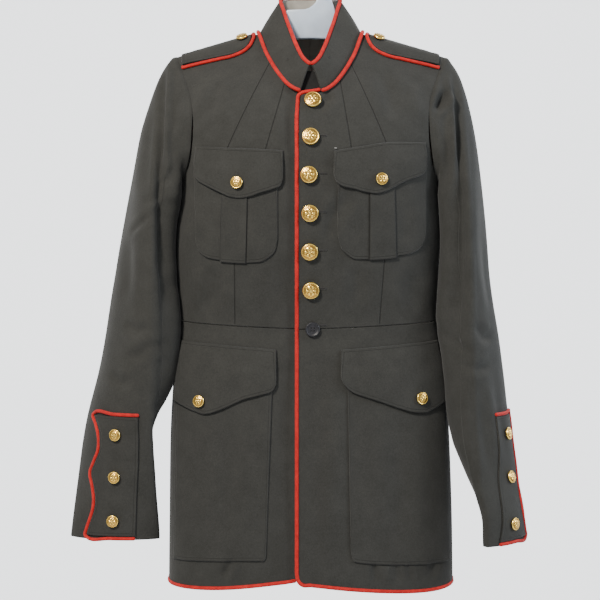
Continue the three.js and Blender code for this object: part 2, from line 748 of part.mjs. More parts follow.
// Collar, from one side of the front opening round the back to the other
function neck_stations() {
  const half = [
    ...NECK_FRONT.map((row) => ({ ...row, before: true })),
    ...NECK_BACK.map((row) => ({ ...row, before: false })),
  ];
  const mirrored = [...half].reverse().slice(1);
  return [
    ...half.map((row) => ({ ...row, side: -1 })),
    ...mirrored.map((row) => ({ ...row, side: 1 })),
  ];
}

function collar_base(station) {
  const level = Math.min(station.level, RIDGE);
  const turn = turn_at(station.side * station.x, level);
  return skin(station.before ? turn : behind(turn, station.side), level);
}

function collar_grid() {
  const stations = neck_stations();
  return stations.map((station) => {
    const base = collar_base(station);
    const top = new THREE.Vector3(station.side * station.top[0], station.top[1], station.top[2]);
    const up = top.clone().sub(base).normalize();
    return { base: base.addScaledVector(up, 2 * SEAM), top, up };
  });
}

const COLLAR = collar_grid();
const collar_place = (i, share) => COLLAR[i].base.clone().lerp(COLLAR[i].top, share);
function collar_out(i, share) {
  const last = COLLAR.length - 1;
  const before = collar_place(Math.max(0, i - 1), share);
  const after = collar_place(Math.min(last, i + 1), share);
  return COLLAR[i].up.clone().cross(after.sub(before)).normalize();
}

wall('collar', CLOTH, COLLAR.length - 1, COLLAR_ROWS, (i, j) => {
  const share = j / COLLAR_ROWS;
  const point = collar_place(i, share);
  return [point, point.clone().addScaledVector(collar_out(i, share), -WALL)];
});

wall('collar_tab', CLOTH_UNDER, 4, 2, (i, j) => {
  const x = lerp(-20, 18, i / 4) * (1 - 0.35 * j / 2);
  const y = lerp(-72.5, -70, j / 2) + 0.004 * x * x;
  const z = lerp(701, 732, j / 2);
  return [new THREE.Vector3(x, y, z), new THREE.Vector3(x, y + WALL, z)];
});

// The table with a row added in the middle of each step wider than the widest allowed
function finer(table) {
  const result = [table[0]];
  for (let i = 1; i < table.length; i += 1) {
    const a = table[i - 1];
    const b = table[i];
    const step = skin(turn_at(b.x, b.top), b.top).sub(skin(turn_at(a.x, a.top), a.top));
    if (Math.hypot(step.x, step.y) > WIDEST_STEP) {
      const middle = { pleat: a.pleat };
      for (const key of ['x', 'top', 'foot']) middle[key] = (a[key] + b[key]) / 2;
      middle.foot_x = ((a.foot_x ?? a.x) + (b.foot_x ?? b.x)) / 2;
      result.push(middle);
    }
    result.push(b);
  }
  return result;
}

// Pockets and flaps on the fronts, each a wall that stands off the skin by a lift
function patch(name, table, side, rows, lift) {
  const columns = finer(table);
  wall(name, CLOTH, columns.length - 1, rows, (i, j) => {
    const share = j / rows;
    const row = columns[i];
    const level = lerp(row.top, row.foot, share);
    const x = side * lerp(row.x, row.foot_x ?? row.x, share);
    const turn = turn_at(x, level);
    const base = lift(share, row);
    const pleat = PLEAT * (row.pleat ?? 0);
    return [skin(turn, level, base + PATCH + pleat), skin(turn, level, base)];
  });
}
const pocket_lift = () => PATCH_LIFT;
const flap_lift = (share) => lerp(FLAP_LIFT, FLAP_FOOT, Math.min(1, share * 2));

patch('chest_pocket_right', CHEST_POCKET_RIGHT, -1, 4, pocket_lift);
patch('chest_pocket_left', CHEST_POCKET_LEFT, 1, 4, pocket_lift);
patch('chest_flap_right', CHEST_FLAP_RIGHT, -1, 4, flap_lift);
patch('chest_flap_left', CHEST_FLAP_LEFT, 1, 4, flap_lift);
patch('skirt_pocket_right', SKIRT_POCKET_RIGHT, -1, 5, pocket_lift);
patch('skirt_pocket_left', SKIRT_POCKET_LEFT, 1, 5, pocket_lift);
patch('skirt_flap_right', SKIRT_FLAP_RIGHT, -1, 4, flap_lift);
patch('skirt_flap_left', SKIRT_FLAP_LEFT, 1, 4, flap_lift);

// Point over the shoulder ridge at a distance y before it (negative) or behind it
function over_ridge(x, y, out) {
  let low = 700;
  let high = RIDGE;
  const turn = (level) => (y < 0 ? turn_at(x, level) : behind(turn_at(x, level), Math.sign(x)));
  for (let k = 0; k < 40; k += 1) {
    const level = (low + high) / 2;
    if (Math.abs(skin_point(turn(level), level).y) > Math.abs(y)) low = level;
    else high = level;
  }
  return skin(turn(high), high, out);
}

// The strap stops short of the armhole, which comes nearer below the shoulder
const strap_reach = (x, y) => Math.min(x, 195 - 0.5 * Math.abs(y));

function strap(side) {
  const word = side > 0 ? 'left' : 'right';
  const rows = 10;
  wall(`shoulder_strap_${word}`, CLOTH, STRAP.length - 1, rows, (i, j) => {
    const y = lerp(STRAP[i].front, STRAP[i].back, j / rows);
    const x = side * strap_reach(STRAP[i].x, y);
    return [over_ridge(x, y, STRAP_LIFT + PATCH), over_ridge(x, y, STRAP_LIFT)];
  });
  const aside = FINE_PIPING + SEAM;
  const out = STRAP_LIFT + FINE_PIPING;
  const front = [...STRAP].reverse().map((row) => [row.x, row.front - aside]);
  const back = STRAP.map((row) => [row.x, row.back + aside]);
  front[front.length - 2][0] -= 2;
  front[front.length - 1][0] -= aside + 1;
  back[0][0] -= aside + 1;
  back[1][0] -= 2;
  const route = [...front, ...back].map(([x, y]) => over_ridge(side * strap_reach(x, y), y, out));
  piping(`piping_strap_${word}`, route, FINE_PIPING, 2);
}

strap(1);
strap(-1);

// Cuff slashes
function sleeve_surface(side, angle, level, out) {
  const table = side > 0 ? SLEEVE_LEFT : SLEEVE_RIGHT;
  const surface = (u, v) => sleeve_section(table, side, u, v);
  const normal = normal_of(surface, angle, level, 0.01, -0.5).multiplyScalar(side);
  return { point: surface(angle, level).addScaledVector(normal, out), normal };
}

function cuff_slash(side) {
  const word = side > 0 ? 'left' : 'right';
  const rows = side > 0 ? SLASH_LEFT : SLASH_RIGHT;
  const place = (angle, level, out) => sleeve_surface(side, angle * degrees, level, out).point;
  const columns = 5;
  wall(`cuff_slash_${word}`, CLOTH, columns, rows.length - 1, (i, j) => {
    const angle = lerp(rows[j].edge, rows[j].outer, i / columns);
    return [place(angle, rows[j].level, SLASH_LIFT + PATCH), place(angle, rows[j].level, SLASH_LIFT)];
  });
  const aside = FINE_PIPING + 2 * SEAM;
  const angle_of = (reach) => reach / SLASH_GIRTH / degrees;
  const out = SLASH_LIFT + FINE_PIPING + 0.6;
  const across = (row, level) => [
    place(row.edge - angle_of(2), level, out),
    place((row.edge + row.outer) / 2, level, out),
    place(row.outer + angle_of(1), level, out),
  ];
  const first = rows[0];
  const last = rows[rows.length - 1];
  const route = [
    ...across(first, first.level + aside),
    ...rows.map((row) => place(row.outer - angle_of(aside + SEAM), row.level, out)),
    ...across(last, last.level - aside).reverse(),
  ];
  piping(`piping_cuff_${word}`, route, FINE_PIPING);
}

cuff_slash(1);
cuff_slash(-1);

// Piping of the edges
const aside = PIPING + SEAM;

function front_edge_route() {
  const on_front = (x, level, out = 0) => skin(turn_at(x, level), level, out);
  const route = [[12, 703.5], [0, 701.7], [-9, 700.3], [-14.5, 698.5], [-17.4, 695], [-18.2, 684]];
  for (let level = 665; level > 30; level -= 35) route.push([FRONT_EDGE - aside, level]);
  route.push([FRONT_EDGE - aside, 19], [FRONT_EDGE - 1.8, 11.5]);
  route.push([FRONT_EDGE + 1.2, 6], [FRONT_EDGE + 6, 3.2]);
  const points = route.map(([x, level]) => on_front(x, level));
  const from = turn_at(FRONT_EDGE + HEM_CORNER, 5);
  const to = side_turn(0) - 0.01;
  for (let k = 0; k <= 12; k += 1) {
    const turn = lerp(from, to, k / 12);
    points.push(skin(turn, lerp(5, -3, k / 12) - aside - SEAM, -WALL / 2));
  }
  return points;
}
piping('piping_front', front_edge_route(), PIPING);

function hem_route(from, to, level_from, level_to, steps, lift) {
  const points = [];
  for (let k = 0; k <= steps; k += 1) {
    const turn = lerp(from, to, k / steps);
    const level = lerp(level_from, level_to, k / steps) - aside - SEAM;
    points.push(skin(turn, level, lift(turn, level) - WALL / 2));
  }
  return points;
}
const right_hem_start = turn_at(FRONT_EDGE - 6, 13);
const right_hem_end = -side_turn(0) + 0.01;
piping('piping_hem_right', hem_route(right_hem_start, right_hem_end, 13, -3, 14, lap), PIPING);
const back_hem_end = back_side_turn(0) - 0.01;
const back_hem = hem_route(Math.PI - back_hem_end, Math.PI + back_hem_end, -2.2, -2.2, 20, () => 0);
piping('piping_hem_back', back_hem, PIPING);

const collar_top_route = COLLAR.map((station, i) => {
  const out = collar_out(i, 1);
  const along = COLLAR[Math.min(COLLAR.length - 1, i + 1)].top.clone().sub(COLLAR[Math.max(0, i - 1)].top);
  const above = out.clone().cross(along).normalize();
  above.multiplyScalar(Math.sign(above.dot(station.up)));
  return station.top.clone().addScaledVector(above, aside).addScaledVector(out, -WALL / 2);
});
piping('piping_collar_top', collar_top_route, PIPING);

function collar_seam_route() {
  return neck_stations().map((station, i) => {
    const level = Math.min(station.level, RIDGE);
    const turn = turn_at(station.side * station.x, level);
    const facing = skin_normal(station.before ? turn : behind(turn, station.side), level);
    const out = collar_out(i, 0);
    const between = facing.add(out).normalize();
    return COLLAR[i].base.clone().addScaledVector(between, (aside + 2 * SEAM) / between.dot(out));
  });
}
piping('piping_collar_seam', collar_seam_route(), PIPING);

// Buttons
function button(name, outline, segments, look, point, normal) {
  const profile = outline.map(([x, y]) => new THREE.Vector2(x, y));
  const geometry = new THREE.LatheGeometry(profile, segments).rotateX(Math.PI / 2);
  const mesh = add(name, geometry, look);
  mesh.position.copy(point);
  mesh.quaternion.setFromUnitVectors(new THREE.Vector3(0, 0, 1), normal);
}

function front_button(name, outline, segments, look, x, level, lift) {
  const turn = turn_at(x, level);
  button(name, outline, segments, look, skin(turn, level, lift), skin_normal(turn, level));
}

FRONT_BUTTONS.forEach((place, k) => {
  front_button(`button_front_${k + 1}`, LARGE_BUTTON, 16, GOLD, place.x, place.level, SEAM);
});
front_button('button_waist', FLAT_BUTTON, 16, DARK_BUTTON, WAIST_BUTTON.x, WAIST_BUTTON.level, SEAM + 0.2);
for (const place of FLAP_BUTTONS) {
  front_button(place.name, SMALL_BUTTON, 12, GOLD, place.x, place.level, place.lift);
}
for (const side of [1, -1]) {
  const word = side > 0 ? 'left' : 'right';
  const seat = over_ridge(side * 100, STRAP_MIDDLE, STRAP_LIFT + PATCH + SEAM);
  const facing = over_ridge(side * 100, STRAP_MIDDLE, STRAP_LIFT + PATCH + SEAM + 1).sub(seat).normalize();
  button(`button_strap_${word}`, SMALL_BUTTON, 12, GOLD, seat, facing);
  CUFF_BUTTONS.forEach((place, k) => {
    const on = sleeve_surface(side, place[word] * degrees, place.level, SLASH_LIFT + PATCH + SEAM);
    button(`button_cuff_${word}_${k + 1}`, SMALL_BUTTON, 12, GOLD, on.point, on.normal);
  });
}

// Hanger
function hanger() {
  const arm_top = (x) => skin_point(turn_at(x, RIDGE), RIDGE).z - WALL - HANGER_DROP;
  const half = [...HANGER_CROWN, ...HANGER_ARM.map((row) => ({ ...row, top: arm_top(row.x) }))];
  const tip = half[half.length - 1];
  tip.top -= 6;
  const neck = [[-8, 835.5], [3, 841], [10, 851], [13, NECK_TOP], [31, NECK_TOP], [31, 851], [36, 839]];
  const right_top = half.slice(1).map((row) => [row.x, row.top]);
  const left_top = half.slice(1).map((row) => [-row.x, row.top]).reverse();
  const right_foot = half.slice(1).map((row) => [row.x, row.foot]).reverse();
  const left_foot = half.slice(1).map((row) => [-row.x, row.foot]);
  const middle_foot = [0, HANGER_CROWN[0].foot];
  const outline = [...left_top, ...neck, ...right_top, ...right_foot, middle_foot, ...left_foot];
  const shape = new THREE.Shape(outline.map(([x, z]) => new THREE.Vector2(x, z)));
  const plate = new THREE.ExtrudeGeometry(shape, { depth: HANGER_THICK, bevelEnabled: false });
  add('hanger_body', plate.translate(0, 0, -HANGER_THICK / 2).rotateX(Math.PI / 2), PLASTIC);

  const points = [new THREE.Vector3(HOOK_RADIUS, 0, NECK_TOP + SEAM)];
  for (let k = 0; k <= 12; k += 1) {
    const angle = k * 15 * degrees;
    const x = HOOK_RADIUS * Math.cos(angle);
    points.push(new THREE.Vector3(x, 0, HOOK_CENTRE + HOOK_RADIUS * Math.sin(angle)));
  }
  points.push(new THREE.Vector3(-HOOK_RADIUS - 1, 0, HOOK_CENTRE - 10));
  const outline_rod = new THREE.Shape().absellipse(0, 0, HOOK_ROD, HOOK_ROD, 0, Math.PI * 2);
  const path = new THREE.CatmullRomCurve3(points, false, 'centripetal');
  const rod = new THREE.ExtrudeGeometry(outline_rod, { extrudePath: path, steps: 22, curveSegments: 4 });
  add('hanger_hook', rod, PLASTIC);
}
hanger();

// The hook's inner top becomes the origin
jacket.position.z = -(HOOK_CENTRE + HOOK_RADIUS - HOOK_ROD);

export default jacket;
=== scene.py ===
"""Dress jacket on a hanger. Sizes are in millimetres, and heights are measured from the hem, until
a mesh is made: it is in metres, with the hook's inner top at the origin."""
import bpy
import numpy as np
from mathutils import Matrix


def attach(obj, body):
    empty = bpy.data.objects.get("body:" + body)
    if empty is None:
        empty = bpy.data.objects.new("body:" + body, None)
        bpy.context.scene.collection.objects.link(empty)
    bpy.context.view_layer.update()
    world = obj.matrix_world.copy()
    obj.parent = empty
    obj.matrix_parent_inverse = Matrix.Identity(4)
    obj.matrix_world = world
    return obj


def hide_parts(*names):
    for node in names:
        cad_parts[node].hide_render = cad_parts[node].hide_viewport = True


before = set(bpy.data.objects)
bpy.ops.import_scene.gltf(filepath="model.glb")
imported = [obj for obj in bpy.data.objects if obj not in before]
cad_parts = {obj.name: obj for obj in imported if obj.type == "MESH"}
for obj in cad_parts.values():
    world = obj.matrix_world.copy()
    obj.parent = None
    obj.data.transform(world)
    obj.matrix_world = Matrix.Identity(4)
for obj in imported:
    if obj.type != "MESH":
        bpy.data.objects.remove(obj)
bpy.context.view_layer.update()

# Sizes
HOOK_TOP = 906.5
THICK = 2.0
SEAM = 0.4
PITCH = 3.2  # of the cloth's mesh
ARMPIT = 566
SHOULDER = 801
RIDGE = SHOULDER - 0.015
SHOULDER_SLOPE = 0.3
NECK_HALF_WIDTH = 76
WAIST_FRONT = 363
WAIST_SIDE = 377
FRONT_EDGE = -17  # of the wearer's left front
UNDERLAP = 5  # edge of the right front
LAP_DEPTH = 2.9
LAP_RAMP = (24, 38)
HEM_LEFT = 5
HEM_RIGHT = 13
HEM_DIP = 9
HEM_CORNER = 13
HEM_GAP = 0.012  # radians between the cords' ends at a side seam
SIDE_DROP = 3
BACK_NECK_RISE = 34
BACK_NECK_LEVEL = 772
PIPING = 2.8  # radius
FINE_PIPING = 2.5
CAP_END = 520
CUFF = 60
SLEEVE_FALL = np.radians(15)
ARMPIT_SLACK = 0.6
PRESSED = 0.6  # how flat the lower sleeve is pressed
FOLD_HEIGHT = 8
CREASE = 2.0  # strength of every crease
RING = 20  # steps round a sleeve
PATCH = 1.7  # thickness of a laid-on piece
PLEAT = 1.5
FLAP_FOOT = 4.2
STRAP_MIDDLE = -10
STRAP_BUTTON = 100
STRAP_LIFT = 0.8
SLASH_LIFT = 0.5
SLASH_GIRTH = 62
BUTTONHOLE_X = 16.3
FAR = 50.0  # a distance that no drawn line reaches


def table(names, *rows):
    values = np.array(rows, float)
    return {name: values[:, k] for k, name in enumerate(names.split())}


SECTIONS = table(
    "level half shift front back square",
    (0, 209, 0, 92, 84, 2.6), (100, 208, 0, 91, 80, 2.6), (206, 206, -1, 87, 74, 2.6),
    (263, 203, -1.5, 84, 70, 2.6), (320, 198, -2, 80, 66, 2.5), (372, 191, -3, 77, 62, 2.4),
    (437, 194, -5, 87, 68, 2.4), (500, 196, -4, 97, 77, 2.4), (560, 192, -2, 103, 84, 2.4),
    (620, 198, 0, 103, 87, 2.4), (660, 204, 0, 96, 81, 2.4), (690, 208, 0, 84, 73, 2.4),
    (715, 212, 0, 70, 63, 2.4), (735, 215, 0, 56, 53, 2.4), (755, 218, 0, 42, 41, 2.4),
    (772, 220, 0, 30, 30, 2.4), (785, 221, 0, 22, 22, 2.4), (795, 222, 0, 13, 13, 2.4),
    (799, 222, 0, 6, 6, 2.4), (SHOULDER, 222, 0, 0, 0, 2.4),
)

# Armhole from the shoulder tip down to the armpit: distance from the middle, before and behind
ARMHOLE = table(
    "level front back",
    (RIDGE, 197.5, 197.5), (797.5, 196.5, 196.5), (788, 193.5, 194), (768, 187.5, 190), (740, 180, 184),
    (708, 173, 179.5), (675, 169.5, 177), (643, 169, 177), (612, 173, 179.5), (587, 181, 184.5),
    (ARMPIT, 0, 0),
)

NECK_FRONT = table(
    "x level top_x top_y top_z",
    (15.5, 700, 2.5, -78, 738), (24, 704, 9, -75, 743), (33, 711, 15, -69, 751),
    (47, 730, 24, -54, 772), (57, 748, 31, -38, 793), (64, 763, 37, -23, 812), (71, 783, 42, -9, 830),
    (74.8, 796, 45.5, 1, 842), (76, RIDGE, 47, 8, 848),
)
NECK_BACK = table(
    "x level top_x top_y top_z",
    (73.5, 796.5, 46, 16, 851), (67, 789.5, 42, 22, 854), (56, 782, 35, 27, 855.5),
    (40, 776, 25, 30, 856.5), (20, 772.8, 12, 32, 857), (0, BACK_NECK_LEVEL, 0, 32.5, 857),
)

SKIRT_ROWS = table(
    "edge side",
    (0, 0), (4, 4), (13, 13), (45, 45), (95, 95), (150, 150), (205, 205), (258, 262), (310, 318),
)
CHEST_ROWS = table(
    "edge side",
    (405, 410), (450, 447), (498, 483), (542, 513), (580, 538), (614, 554),
)

SLEEVE_RIGHT = table(
    "level out back long short turn",
    (CUFF, 287, -30, 64, 23, 84), (150, 285, -28, 62, 25, 68), (230, 280, -25, 64, 28, 54),
    (300, 263, -20, 68, 34, 50), (350, 257, -14, 70, 36, 42), (405, 252, -8, 72, 36, 34),
    (450, 247, -4, 74, 35, 28), (520, 240, 0, 76, 33, 20),
)
SLEEVE_LEFT = table(
    "level out back long short turn",
    (CUFF, 280, -48, 64, 23, 33), (100, 277, -46, 65, 24, 32), (160, 261, -42, 67, 26, 38),
    (236, 248, -34, 70, 30, 37), (300, 244, -24, 70, 30, 34), (350, 241, -16, 70, 30, 30),
    (405, 234, -10, 70, 30, 27), (450, 229, -5, 72, 30, 25), (520, 228, 0, 74, 29, 18),
)

def laid(*rows):
    """Rows of x, top and foot, then x at the foot where it differs, then 1 on the box pleat."""
    full = [(r[0], *(r[3:4] or r[:1]), r[1], r[2], *(r[4:5] or (0,))) for r in rows]
    return table("x foot_x top foot pleat", *full)

# Pieces laid on the fronts, from the inner edge outward
PATCHES = {
    "chest_pocket_right": laid(
        (46.5, 574, 492), (50, 573, 475), (59, 572, 465), (73, 570, 458), (87.3, 566, 457, 90.8),
        (88.2, 566, 456.5, 91.7, 1), (106, 562, 457.5, 110, 1), (123.8, 566, 459.5, 127.8, 1),
        (124.7, 568, 461, 128.7), (147, 575, 465), (160, 582, 476), (165, 586, 493)),
    "chest_pocket_left": laid(
        (37.5, 576, 497), (42, 575, 479), (53, 572, 467), (64, 570, 462), (81.3, 566, 462, 81.8),
        (82.2, 566, 461.5, 82.7, 1), (99, 567, 462.5, 101.5, 1), (116.8, 574, 465.5, 120.8, 1),
        (117.7, 576, 467, 121.7), (138, 587, 470), (155, 596, 479), (164, 606, 496)),
    "skirt_pocket_right": laid(
        (54, 286, 47, 63), (58, 285, 42, 67), (93, 277, 43, 100), (126, 263, 42, 132),
        (151, 256, 41, 155), (176, 263, 38, 180), (193, 270, 35, 198)),
    "skirt_pocket_left": laid(
        (52, 290, 56, 56), (55, 287, 41, 61), (98, 273, 38, 104), (130, 263, 37, 135),
        (160, 257, 36, 164), (180, 264, 35, 184), (193, 272, 33, 200)),
    "chest_flap_right": laid(
        (38.7, 613.8, 575), (43, 614.2, 564), (55, 615.3, 559), (72, 616.5, 554), (87, 617.5, 549),
        (99, 618.3, 547.5), (112, 619, 549.5), (127, 620.5, 556.5), (145, 622.5, 566), (158, 624, 574),
        (164, 625, 581)),
    "chest_flap_left": laid(
        (31.5, 613.7, 580), (36, 614.5, 569), (45, 616, 563), (60, 618.7, 560), (77, 621.5, 555.5),
        (90, 624, 554), (101, 626, 556.6), (117, 627.5, 564.5), (130, 628, 572), (149, 628.8, 580),
        (158, 629.2, 586), (162.5, 629.5, 597)),
    "skirt_flap_right": laid(
        (48.5, 334, 286), (55, 335, 275), (74, 337, 269), (93, 338, 264), (126, 341, 249),
        (143, 342.5, 243), (151, 343, 242), (166, 344.5, 246), (178, 345.8, 253.5, 183),
        (187, 346.5, 260.5, 196)),
    "skirt_flap_left": laid(
        (42.3, 334, 296), (45, 334.5, 288), (51, 335, 280), (59, 335.5, 273.5), (80, 337, 266),
        (98, 338.5, 260), (126, 341, 250), (146, 343, 244.5), (160, 344, 243.5), (172, 345.5, 249.5, 177),
        (184, 347, 260, 194)),
}
# Shoulder straps: distance from the middle, and their edges before and behind the ridge
STRAP = table(
    "x front back",
    (87, -15, -3), (89.5, -20.5, 3), (95, -24, 7), (110, -26, 11), (135, -23.5, 17), (162, -19.5, 23),
    (190, -14.5, 28),
)

# Cuff slashes: degrees round the sleeve's ring of their straight edge and of their scalloped edge
SLASH_RIGHT = table(
    "level edge outer",
    (65, 35, -32.5), (74, 36, -30), (88, 38, -24.5), (103, 40, -19), (118, 42, -17), (137, 45, -19.5),
    (154, 47.5, -24), (169, 50, -17.5), (192, 53, -7), (211, 55, -7.5), (225, 55, -13), (238, 55, -22),
)
SLASH_LEFT = table(
    "level edge outer",
    (65, 52, -19), (74, 50, -14), (88, 47, -9), (103, 43.5, -7), (118, 39.5, -9), (137, 34, -14),
    (154, 28, -20.5), (169, 23, -25), (192, 19, -27), (211, 19, -31), (225, 19.5, -37), (238, 20, -44),
)

# Creases: where they lie, half their width, their height (a trough is negative) and their course,
# as distance from the middle and level
BODY_FRONT = (
    (9, -1.5, ((-131, 725), (-140, 690), (-147, 655))),
    (7, 1.1, ((-161, 640), (-150, 660), (-138, 676))), (8, -2.2, ((30, 702), (16, 684), (2, 664))),
    (10, -1.6, ((60, 560), (30, 520), (20, 480))), (9, -1.3, ((-30, 690), (-30, 655), (-27, 600))),
    (13, -1.8, ((-140, 455), (-138, 420), (-146, 385))),
    (10, 1.2, ((-164, 450), (-160, 415), (-165, 385))), (12, -1.6, ((60, 455), (66, 425), (60, 390))),
    (14, -1.6, ((150, 450), (146, 420), (152, 388))), (14, -1.3, ((-40, 470), (-36, 430), (-44, 395))),
    (6, -1.6, ((-111, 39), (-117, 26), (-125, 8))), (5, 1.0, ((-103, 36), (-109, 22), (-115, 8))),
    (7, -1.0, ((-160, 34), (-163, 20), (-160, 6))), (5, -1.6, ((90, 36), (90, 22), (92, 4))),
    (6, -1.5, ((121, 33), (124, 20), (125, 3))), (5, -1.2, ((138, 34), (139, 20), (142, 5))),
    (5, 0.9, ((106, 34), (107, 18), (108, 4))), (7, -1.3, ((178, 36), (174, 20), (172, 6))),
    (16, -1.8, ((-30, 330), (-34, 200), (-30, 60))), (18, 1.6, ((30, 340), (34, 210), (28, 40))),
    (15, -1.4, ((-120, 240), (-116, 150), (-124, 60))), (15, -1.5, ((120, 240), (128, 140), (122, 50))),
    (12, -1.1, ((-96, 545), (-102, 510), (-98, 470))), (11, -0.9, ((130, 545), (134, 510), (130, 480))),
    (12, -1.8, ((100, 735), (112, 700), (118, 660))), (10, 1.1, ((150, 720), (150, 690), (158, 660))),
)
BODY_BACK = (
    (15, -2.6, ((-150, 640), (-120, 600), (-96, 540))),
    (16, -2.3, ((148, 650), (122, 610), (104, 550))), (20, -2.4, ((-62, 740), (-70, 660), (-66, 560))),
    (18, 1.8, ((58, 735), (64, 650), (60, 560))), (11, -2.0, ((-150, 420), (-90, 398), (-30, 404))),
    (12, -2.2, ((20, 412), (80, 396), (150, 416))), (10, -1.6, ((-120, 372), (-70, 360), (-24, 368))),
    (9, -1.5, ((30, 372), (70, 362), (118, 376))), (18, 2.8, ((-110, 330), (-116, 190), (-124, 10))),
    (17, -2.8, ((-70, 320), (-74, 180), (-80, 5))), (18, -2.7, ((84, 325), (90, 190), (96, 5))),
    (18, 2.6, ((124, 330), (130, 180), (136, 10))), (13, -1.8, ((-160, 300), (-166, 180), (-170, 60))),
    (16, -2.0, ((-20, 760), (0, 752), (22, 760))),
)
SLEEVE_RIGHT_FRONT = (
    (5, 2.6, ((-207, 766), (-207, 707), (-208, 664), (-209, 621), (-212, 577))),
    (5.5, -4.4, ((-212, 742), (-213.5, 700), (-214, 650), (-215, 592), (-216, 480), (-217, 360), (-219, 270))),
    (5, -1.3, ((-262, 500), (-240, 515), (-222, 529))),
    (4.5, 1.0, ((-232, 531), (-214, 546), (-199, 568))),
    (4, -1.7, ((-215, 566), (-205, 580), (-198, 600))),
    (6, -2.0, ((-217, 412), (-206, 436), (-194, 466))),
    (8, -1.6, ((-268, 372), (-246, 360), (-224, 366))),
    (7, -1.4, ((-262, 318), (-240, 330), (-222, 350))),
    (10, 1.6, ((-246, 700), (-250, 620), (-256, 540))),
    (9, -1.5, ((-262, 500), (-262, 440), (-266, 390))),
    (8, -1.4, ((-288, 300), (-272, 285), (-250, 290))),
    (8, -1.2, ((-300, 180), (-298, 130), (-303, 90))),
    (5, -1.1, ((-196, 700), (-192, 672), (-195, 640))),
)
SLEEVE_LEFT_FRONT = (
    (6, 2.2, ((201, 740), (202, 690), (203, 640), (205, 577))),
    (5, -4.0, ((210, 752), (212, 690), (213, 621), (214, 556), (215, 477), (216, 412), (217, 330), (219, 270))),
    (6.5, -3.4, ((203, 716), (192, 698), (179, 674))), (5, 1.5, ((204, 700), (194, 682), (184, 664))),
    (6, -1.6, ((196, 640), (200, 600), (203, 560))), (3.5, -1.5, ((199, 391), (212, 355), (226, 320))),
    (9, -1.8, ((252, 500), (256, 440), (262, 380))), (8, -1.6, ((226, 372), (244, 352), (262, 350))),
    (7, -1.4, ((214, 316), (232, 306), (256, 312))), (8, 1.4, ((246, 300), (254, 230), (262, 170))),
    (9, -1.3, ((236, 270), (242, 210), (252, 150))),
)
# The pressed fold down each sleeve's front
FOLD_LEFT = ((221, 620), (224, 506), (225, 419), (226, 350), (228, 290), (231, 220), (237, 118), (243, 56))
FOLD_RIGHT = (
    (-219, 640), (-221, 590), (-224, 480), (-227, 350), (-229, 230), (-226, 158), (-218, 72), (-217, 56),
)
# How far a sleeve swells towards the body, beside it and a little in front
SWELL = table(
    "level right left right_front left_front",
    (130, 0, 0, 0, 0), (160, 0, 5, 0, 0), (200, 2, 12, 0, 0), (240, 9, 14.6, 4, 0),
    (260, 13, 14.4, 8, 1), (280, 14.5, 14.6, 12, 1.5), (300, 12.5, 14.2, 16, 4.5),
    (320, 12.5, 14.8, 17, 6), (340, 13.5, 15.5, 17, 8.5), (360, 14.5, 16.2, 17, 11),
    (380, 13, 15, 17, 12.5), (400, 10, 11.2, 16, 13), (420, 6.8, 7, 15, 13.5),
    (440, 3.5, 2.2, 13, 13.5), (460, 0.5, 0, 11, 12.5), (480, 0, 0, 9.3, 11), (500, 0, 0, 8.8, 11.6),
    (520, 0.5, 0, 9.6, 13.2), (540, 1.5, 0, 12, 14.6), (560, 3, 0.8, 12, 14.5), (580, 0, 0, 12, 11),
    (600, 0, 0, 8, 5), (640, 0, 0, 0, 0),
)
# How far the pressed fold leans outward, away from the body
LEAN = table(
    "level right left",
    (200, 0, 12), (240, 2.5, 15), (280, 13, 16), (320, 18, 17), (360, 17, 19), (400, 14, 20),
    (440, 12.6, 20), (480, 11, 18), (520, 9, 15), (560, 8, 12), (600, 7, 9), (640, 4, 4), (680, 0, 0),
)
SLEEVE_BACK = (
    (10, -3.0, ((206, 700), (216, 640), (222, 570))), (9, 2.2, ((232, 690), (238, 620), (242, 560))),
    (7, -2.8, ((200, 560), (222, 540), (250, 536))), (7, -2.4, ((204, 500), (228, 470), (256, 462))),
    (8, -2.6, ((214, 420), (238, 402), (268, 404))), (6, 1.7, ((216, 398), (240, 380), (268, 382))),
    (7, -2.2, ((222, 352), (246, 340), (274, 346))), (10, -1.8, ((262, 300), (270, 230), (280, 150))),
)

FRONT_BUTTONS = ((2.6, 686), (-0.6, 633), (-3, 580), (-1.5, 526.5), (-1.9, 473), (0, 419))
WAIST_BUTTON = (2.5, 363)
FLAP_BUTTONS = (
    ("button_chest_right", -102, 570), ("button_chest_left", 97, 575),
    ("button_skirt_right", -156.4, 260.5), ("button_skirt_left", 155.3, 264.5),
)
CUFF_BUTTONS = ((212, 20, -7), (151, 14, 3.5), (88, 7, 22))

# Seams drawn in the cloth of the fronts: the two that fan out from the neck, and the waist dart
SEAMS = {
    "left": (
        ((56.5, 749), (80, 690), (105.5, 627), (108, 600), (104, 457), (98, 371)),
        ((41, 722), (49, 668), (57, 616), (60, 590)),
    ),
    "right": (
        ((-58, 750), (-88, 684), (-117, 620), (-119, 600), (-108, 457), (-108, 371)),
        ((-37, 714), (-50, 664), (-64, 614), (-66, 590)),
    ),
}


def hermite(t, start, leave, end, arrive):
    """A cubic from start to end that leaves and arrives with the given slopes."""
    return (
        (2 * t**3 - 3 * t**2 + 1) * start + (t**3 - 2 * t**2 + t) * leave
        + (3 * t**2 - 2 * t**3) * end + (t**3 - t**2) * arrive
    )

